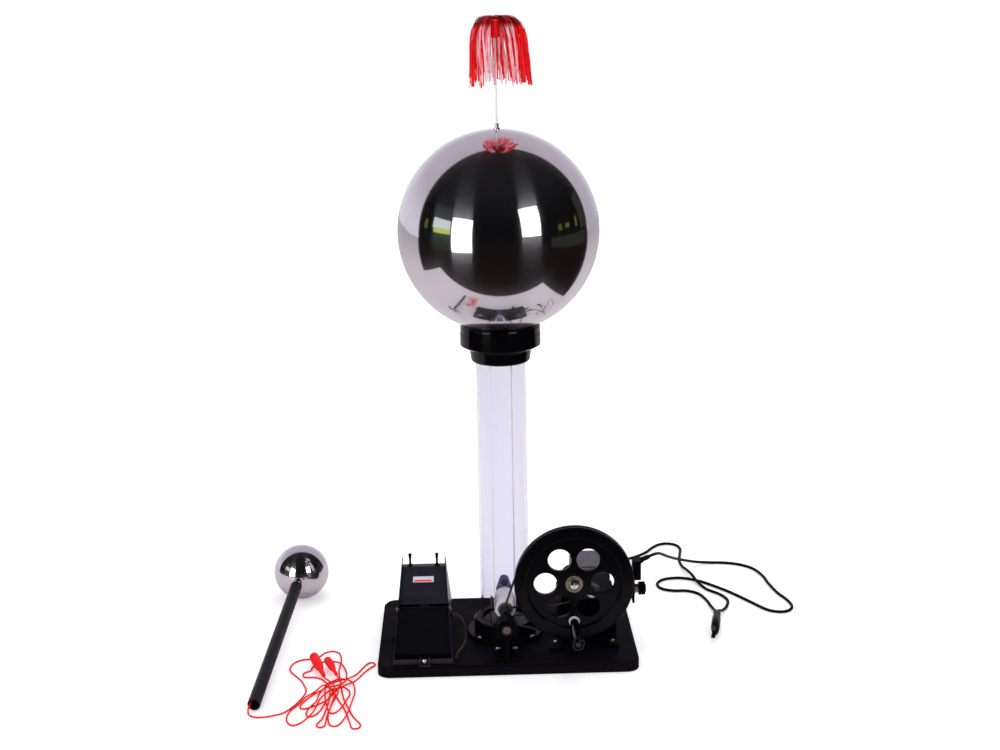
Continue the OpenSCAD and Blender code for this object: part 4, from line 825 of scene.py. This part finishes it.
# a sharp reflection under a weaker one that the spinning draws out into streaks
mirror_steel, tree, sharp, place = surface("spun_mirror_steel")
steel_tint = blend_colours(
    tree, spread(tree, noise(tree, place, 7), 0, 1), (0.66, 0.64, 0.69), (0.72, 0.70, 0.745)
)
ring_normal = bumps(tree, noise(tree, place, 1, 2, (3, 3, 1500)), 0.06, 0.00006)
brushed = tree.nodes.new("ShaderNodeBsdfPrincipled")
around = tree.nodes.new("ShaderNodeTangent")
around.direction_type = "RADIAL"
around.axis = "Z"
for lobe in (sharp, brushed):
    put(lobe, Metallic=1.0)
    tree.links.new(steel_tint, lobe.inputs["Base Color"])
    tree.links.new(ring_normal, lobe.inputs["Normal"])
sharp_gloss = spread(tree, noise(tree, place, 22, 4), 0.03, 0.075)
tree.links.new(sharp_gloss, sharp.inputs["Roughness"])
put(brushed, Roughness=0.2, Anisotropic=1.0, Anisotropic_Rotation=0.25)
tree.links.new(around.outputs["Tangent"], brushed.inputs["Tangent"])
brushed_share = spread(tree, noise(tree, place, 4), 0.17, 0.24)
show_mix(tree, brushed_share, sharp.outputs["BSDF"], brushed.outputs["BSDF"])
dome.data.materials.append(mirror_steel)
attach(dome, "dome")
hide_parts("dome_shell")
chrome = finish(
    "chrome", (0.80, 0.80, 0.82), 0.12, 1.0, drift=0.06, cloud=60, grain=2000, relief=0.06
)
dress(chrome, "dome_socket", "axle_stud")

# ---- Plume --------------------------------------------------------------------------------
# Strips of thin red and white plastic film under a red cap, on a pale rod that stands in the
# dome's socket. They arch out from the crown and hang in a loose bell.
head_low, head_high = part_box("plume_head")
plume_at = amid(head_low, head_high, head_high[2])
strip_count, strip_steps = 250, 16
# profiles of the bell, in millimetres out from the rod and up from the cap's top
bell_outside = [
    (7, 3.5), (16, 6), (25, 4.5), (33, -2), (39, -14), (42.5, -30), (44.2, -60), (45.5, -96),
]
bell_inside = [
    (7, 2), (11, 0), (17, -6), (23, -18), (28, -32), (31, -50), (33, -68), (34, -96),
]
lean = Vector((6, 0, 0))
# parts of the bell by their middle and half width, as angles in radians from the right
bare, thin = (-math.pi / 2, 0.36), (-math.pi / 2, 0.5)
red_bands = ((-0.3, 0.5), (-2.7, 0.16))
thin_share, red_share = 0.6, 0.5
band_out, band_width = 0.8, 1.8 * mm
# how a strip waves round the rod and to and from it, and how it widens from its root
sway_rate, sway_gain, ripple_rate, ripple = 7, 1.6, 11, 1.3
root_share, widening = 0.75, 4


def along(profile, t):
    """The point a share t along a profile, by its points."""
    at = t * (len(profile) - 1)
    i = min(int(at), len(profile) - 2)
    first, second = Vector(profile[i]), Vector(profile[i + 1])
    return first.lerp(second, at - i)


def within(angle, part):
    middle, half = part
    return abs(math.remainder(angle - middle, 2 * math.pi)) < half


draw = random.Random(11)
strips = {"plume_red": bmesh.new(), "plume_white": bmesh.new()}
for i in range(strip_count):
    angle = 2 * math.pi * i / strip_count + draw.uniform(-0.05, 0.05)
    out = draw.random() ** 0.7
    reach = draw.uniform(0.88, 1.0)
    width = draw.uniform(0.8, 1.5) * mm
    wave, phase = draw.uniform(0.02, 0.05), draw.uniform(0, 6.3)
    turn, turn_rate = draw.uniform(-0.5, 0.5), draw.uniform(-1.0, 1.0)
    chance = draw.random()
    if within(angle, thin) and draw.random() < (1.0 if within(angle, bare) else thin_share):
        continue
    in_red_band = any(within(angle, part) for part in red_bands)
    if in_red_band:
        out, width = max(out, band_out), band_width
    mesh = strips["plume_red" if in_red_band or chance < red_share else "plume_white"]
    rows = []
    for k in range(strip_steps + 1):
        t = k / strip_steps
        profile = along(bell_inside, t * reach).lerp(along(bell_outside, t * reach), out)
        sway = angle + wave * math.sin(sway_rate * t + phase) * t * sway_gain
        radius = profile.x + ripple * math.sin(ripple_rate * t + 2 * phase) * t
        at = Vector((math.cos(sway) * radius, math.sin(sway) * radius, profile.y)) + lean * t
        twist = sway + math.pi / 2 + (turn + turn_rate * t) * t
        half = width * (root_share + (1 - root_share) * min(1, widening * t))
        across = Matrix.Rotation(twist, 3, "Z") @ Vector((1, 0, 0)) * half
        middle = plume_at + at * mm
        rows.append([mesh.verts.new(middle - across), mesh.verts.new(middle + across)])
    for a, b in zip(rows, rows[1:]):
        mesh.faces.new((a[0], a[1], b[1], b[0]))
film_grain = {"grain": 700, "relief": 0.3, "stretch": (1, 1, 0.3), "specular": 0.25}
film_red = finish("film_red", (0.95, 0.007, 0.011), 0.4, drift=0.15, cloud=60, **film_grain)
film_white = finish("film_white", (0.94, 0.88, 0.97), 0.4, drift=0.05, cloud=40, **film_grain)


def painted_red_light(tree, axes):
    """Painted light: clouds where the white film is painted pink for the red light it takes from
    the red strips.
    """
    place = tree.nodes["Texture Coordinate"].outputs["Object"]
    return spread(tree, noise(tree, place, 55, 2), 0, 0.75)


def crown(tree, axes):
    """The shade among the strips where they leave the cap."""
    lowest, full = plume_at.z - 14 * mm, plume_at.z - 4 * mm
    return step_between(tree, axes["Z"], lowest, full)


# painted red light on the white film
paint_over(film_white, (0.95, 0.30, 0.38), painted_red_light)
paint_over(film_white, (0.50, 0.008, 0.012), crown)
paint_over(film_red, (0.30, 0.003, 0.005), crown)
film_lets_through = 0.42
for (name, mesh), film in zip(strips.items(), (film_red, film_white)):
    tree = film.node_tree
    shader = tree.nodes["Principled BSDF"]
    through = tree.nodes.new("ShaderNodeBsdfTranslucent")
    tree.links.new(shader.inputs["Base Color"].links[0].from_socket, through.inputs["Color"])
    show_mix(tree, film_lets_through, shader.outputs["BSDF"], through.outputs["BSDF"])
    data = bpy.data.meshes.new(name)
    mesh.to_mesh(data)
    mesh.free()
    for polygon in data.polygons:
        polygon.use_smooth = True
    made = add_object(name, data)
    data.materials.append(film)
    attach(made, "plume")
    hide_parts("plume_strips")
rod_white = finish(
    "rod_white", (0.78, 0.78, 0.80), 0.3, drift=0.05, cloud=30, grain=900, relief=0.05
)
cap_red = finish(
    "cap_red", (0.95, 0.007, 0.010), 0.36, drift=0.1, cloud=60, grain=900, relief=0.1,
    specular=0.25
)
dress(rod_white, "plume_rod")
dress(cap_red, "plume_head")

# ---- Bearing, drive frame and brackets ----------------------------------------------------
# A casting that carries the drive shaft's front end in a bronze bush, and folded sheet steel
# brackets for the wheel and the motor, all painted black.
frame_black = finish(
    "frame_black", (0.0018, 0.0016, 0.0024), 0.42, cloud=12, grain=700, relief=0.12,
    specular=0.015
)
dress(frame_black, "bearing_block", "drive_frame", "motor_saddle", "clamp_bracket")

# ---- Drive belts --------------------------------------------------------------------------
# Round black rubber belts of 3.4 mm, one from the hand wheel and one from the motor to the
# pulley on the drive shaft.
belt_diameter = 3.4 * mm
axle_at, shaft_at, motor_at = (103.5, 123.0), (-2.0, 67.5), (133.5, 104.0)
wheel_groove, pulley_groove, motor_groove = 89, 7, 9


def belt_line(first, first_radius, second, second_radius, y, arc_steps):
    """A belt's closed centreline round two pulleys, in metres, from millimetres in X and Z."""
    a, b = Vector(first), Vector(second)
    between = b - a
    heading = math.atan2(between.y, between.x)
    slope = math.acos((first_radius - second_radius) / between.length)
    line = []
    for centre, radius, start, end in (
        (a, first_radius, heading + slope, heading + 2 * math.pi - slope),
        (b, second_radius, heading - slope, heading + slope),
    ):
        for k in range(arc_steps + 1):
            turn = start + (end - start) * k / arc_steps
            x, z = centre.x + radius * math.cos(turn), centre.y + radius * math.sin(turn)
            line.append(Vector((x, y, z)) * mm)
    return line


belt_rubber = finish("belt_rubber", (0.014, 0.013, 0.015), 0.55, cloud=40, grain=1500, relief=0.3)
for name, node, first, radius, y in (
    ("wheel_round_belt", "hand_belt", axle_at, wheel_groove, -70),
    ("motor_round_belt", "motor_belt", motor_at, motor_groove, -56),
):
    line = belt_line(first, radius, shaft_at, pulley_groove, y, arc_steps=48)
    belt = round_line(name, line, belt_diameter, closed=True)
    belt.data.materials.append(belt_rubber)
    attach(belt, "base")
    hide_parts(node)

# ---- Hand wheel and crank -----------------------------------------------------------------
# A cast wheel in black enamel with six round holes, a brass bearing ring in its hub and a turned
# black grip that runs on a nickel plated crank pin.
wheel_black = finish(
    "wheel_black", (0.0018, 0.0017, 0.0024), 0.2, rough_drift=0.04, cloud=8, grain=420,
    relief=0.03, specular=0.1
)
hub_brass = finish(
    "hub_brass", (0.40, 0.37, 0.24), 0.3, 1.0, drift=0.2, cloud=90, grain=1800, relief=0.2
)
satin_nickel = finish(
    "satin_nickel", (0.80, 0.80, 0.82), 0.3, 0.45, cloud=60, grain=2000, relief=0.1
)


def pin_end(tree, axes):
    """The pin's blackened front end."""
    return step_between(tree, axes["Y"], -150 * mm, -150.5 * mm)


paint_over(satin_nickel, (0.004, 0.004, 0.005), pin_end, 0.0)
dress(wheel_black, "hand_wheel")
dress(hub_brass, "hub_bearing")
dress(satin_nickel, "crank_pin")
dress(gloss_black, "crank_grip")

# ---- Motor --------------------------------------------------------------------------------
# A small universal motor in grey violet enamel, with a bell at each end of its case. It stands
# on a sheet steel saddle.
motor_enamel = finish(
    "motor_enamel", (0.052, 0.048, 0.072), 0.4, drift=0.14, cloud=20, grain=600, relief=0.3
)
dress(motor_enamel, "motor_case", "motor_bells")

# ---- Terminal block and clamp knob --------------------------------------------------------
# Black thermoset mouldings. The knob turns on a bolt plated with copper that clamps the block's
# bracket.
copper = finish("copper", (0.34, 0.22, 0.16), 0.4, 1.0, cloud=60, grain=2000, relief=0.15)
dress(black_moulding, "terminal_block", "clamp_knob")
dress(copper, "clamp_bolt")

# ---- Foot controller ----------------------------------------------------------------------
# A folded sheet steel case in dark blue grey paint with a treadle on a hinge pin and two moulded
# pegs. Its plate is bare silver with a red band, stuck on the slope above the treadle.
pedal_paint = finish(
    "pedal_paint", (0.0100, 0.0090, 0.0160), 0.34, drift=0.12, cloud=14, grain=900, relief=0.1,
    specular=0.12, Coat_Weight=0.25, Coat_Roughness=0.15
)
treadle_paint = finish(
    "treadle_paint", (0.0024, 0.0021, 0.0034), 0.45, drift=0.15, cloud=20, grain=900,
    relief=0.2, specular=0.07
)
ceramic = finish("ceramic", (0.62, 0.58, 0.50), 0.6, drift=0.1, cloud=60, grain=900, relief=0.3)
plate_silver = finish(
    "plate_silver", (0.66, 0.65, 0.70), 0.4, 0.15, drift=0.06, rough_drift=0.03, cloud=40,
    grain=1500, relief=0.04
)
place_low, place_high = (Vector(corner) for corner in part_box("pedal_label"))
plate_at = (place_low + place_high) / 2
plate_wide, plate_tall, plate_thick = 33 * mm, 13 * mm, 0.8 * mm
plate_slope = math.atan2(place_high.z - place_low.z - plate_thick, place_high.y - place_low.y)
deselect()
bpy.ops.mesh.primitive_cube_add(
    size=1, location=plate_at, rotation=(plate_slope, 0, 0),
    scale=(plate_wide, plate_tall, plate_thick)
)
plate = settle(bpy.context.object)
plate.name = "bare_plate"
edges = plate.modifiers.new("edges", "BEVEL")
edges.width = 0.25 * mm
edges.segments = 2
bpy.ops.object.modifier_apply(modifier=edges.name)
bpy.ops.object.shade_smooth_by_angle(angle=math.radians(40))
plate_low = plate_at - Vector((plate_wide, plate_tall * math.cos(plate_slope), 0)) / 2


def plate_band(tree, axes):
    """The band along the plate's lower edge, short of its ends."""
    left, right = plate_low.x + 2 * mm, plate_low.x + plate_wide - 3.5 * mm
    low, high, edge = plate_low.y + 1 * mm, plate_low.y + 4.4 * mm, 0.3 * mm
    across = band(tree, axes["X"], left, right, edge)
    return math_node(tree, "MULTIPLY", across, band(tree, axes["Y"], low, high, edge))


paint_over(plate_silver, (0.80, 0.02, 0.025), plate_band, 0.0)
dress(pedal_paint, "pedal_case", "pedal_clip")
dress(treadle_paint, "pedal_treadle")
dress(ceramic, "speed_resistor")
dress(black_moulding, "pedal_pegs")
plate.data.materials.append(plate_silver)
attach(plate, "base")
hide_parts("pedal_label")

# ---- Treadle spring -----------------------------------------------------------------------
# A coil of drawn steel wire, 9 mm across, that stands on the case's floor and carries the treadle.
# It is drawn at its full height, though the treadle going down presses it to seven tenths of that.
spring_low, spring_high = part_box("treadle_spring")
spring_wire, spring_turns, spring_steps = 1.2 * mm, 5, 24
spring_radius = (spring_high[0] - spring_low[0] - spring_wire) / 2
spring_climb = spring_high[2] - spring_low[2] - spring_wire
spring_foot = amid(spring_low, spring_high, spring_low[2])
coil = []
for i in range(spring_turns * spring_steps + 1):
    turn = 2 * math.pi * i / spring_steps
    climb = spring_wire / 2 + spring_climb * i / (spring_turns * spring_steps)
    x, y = spring_radius * math.cos(turn), spring_radius * math.sin(turn)
    coil.append(spring_foot + Vector((x, y, climb)))
spring = round_line("treadle_coil", coil, spring_wire, sides=1)
make_mesh(spring)
spring.data.materials.append(steel)
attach(spring, "base")
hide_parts("treadle_spring")
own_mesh(spring)

# ---- Discharge wand -----------------------------------------------------------------------
# A hollow spun ball, polished as the dome is, on a black tube handle. It lies on the table with
# the handle's open end to the front.
dress(mirror_steel, "wand_ball")
handle_black = finish(
    "handle_black", (0.0060, 0.0056, 0.0090), 0.42, cloud=20, grain=1500, relief=0.1,
    specular=0.14
)
dress(handle_black, "wand_handle")

bpy.context.scene.view_settings.view_transform = "Standard"
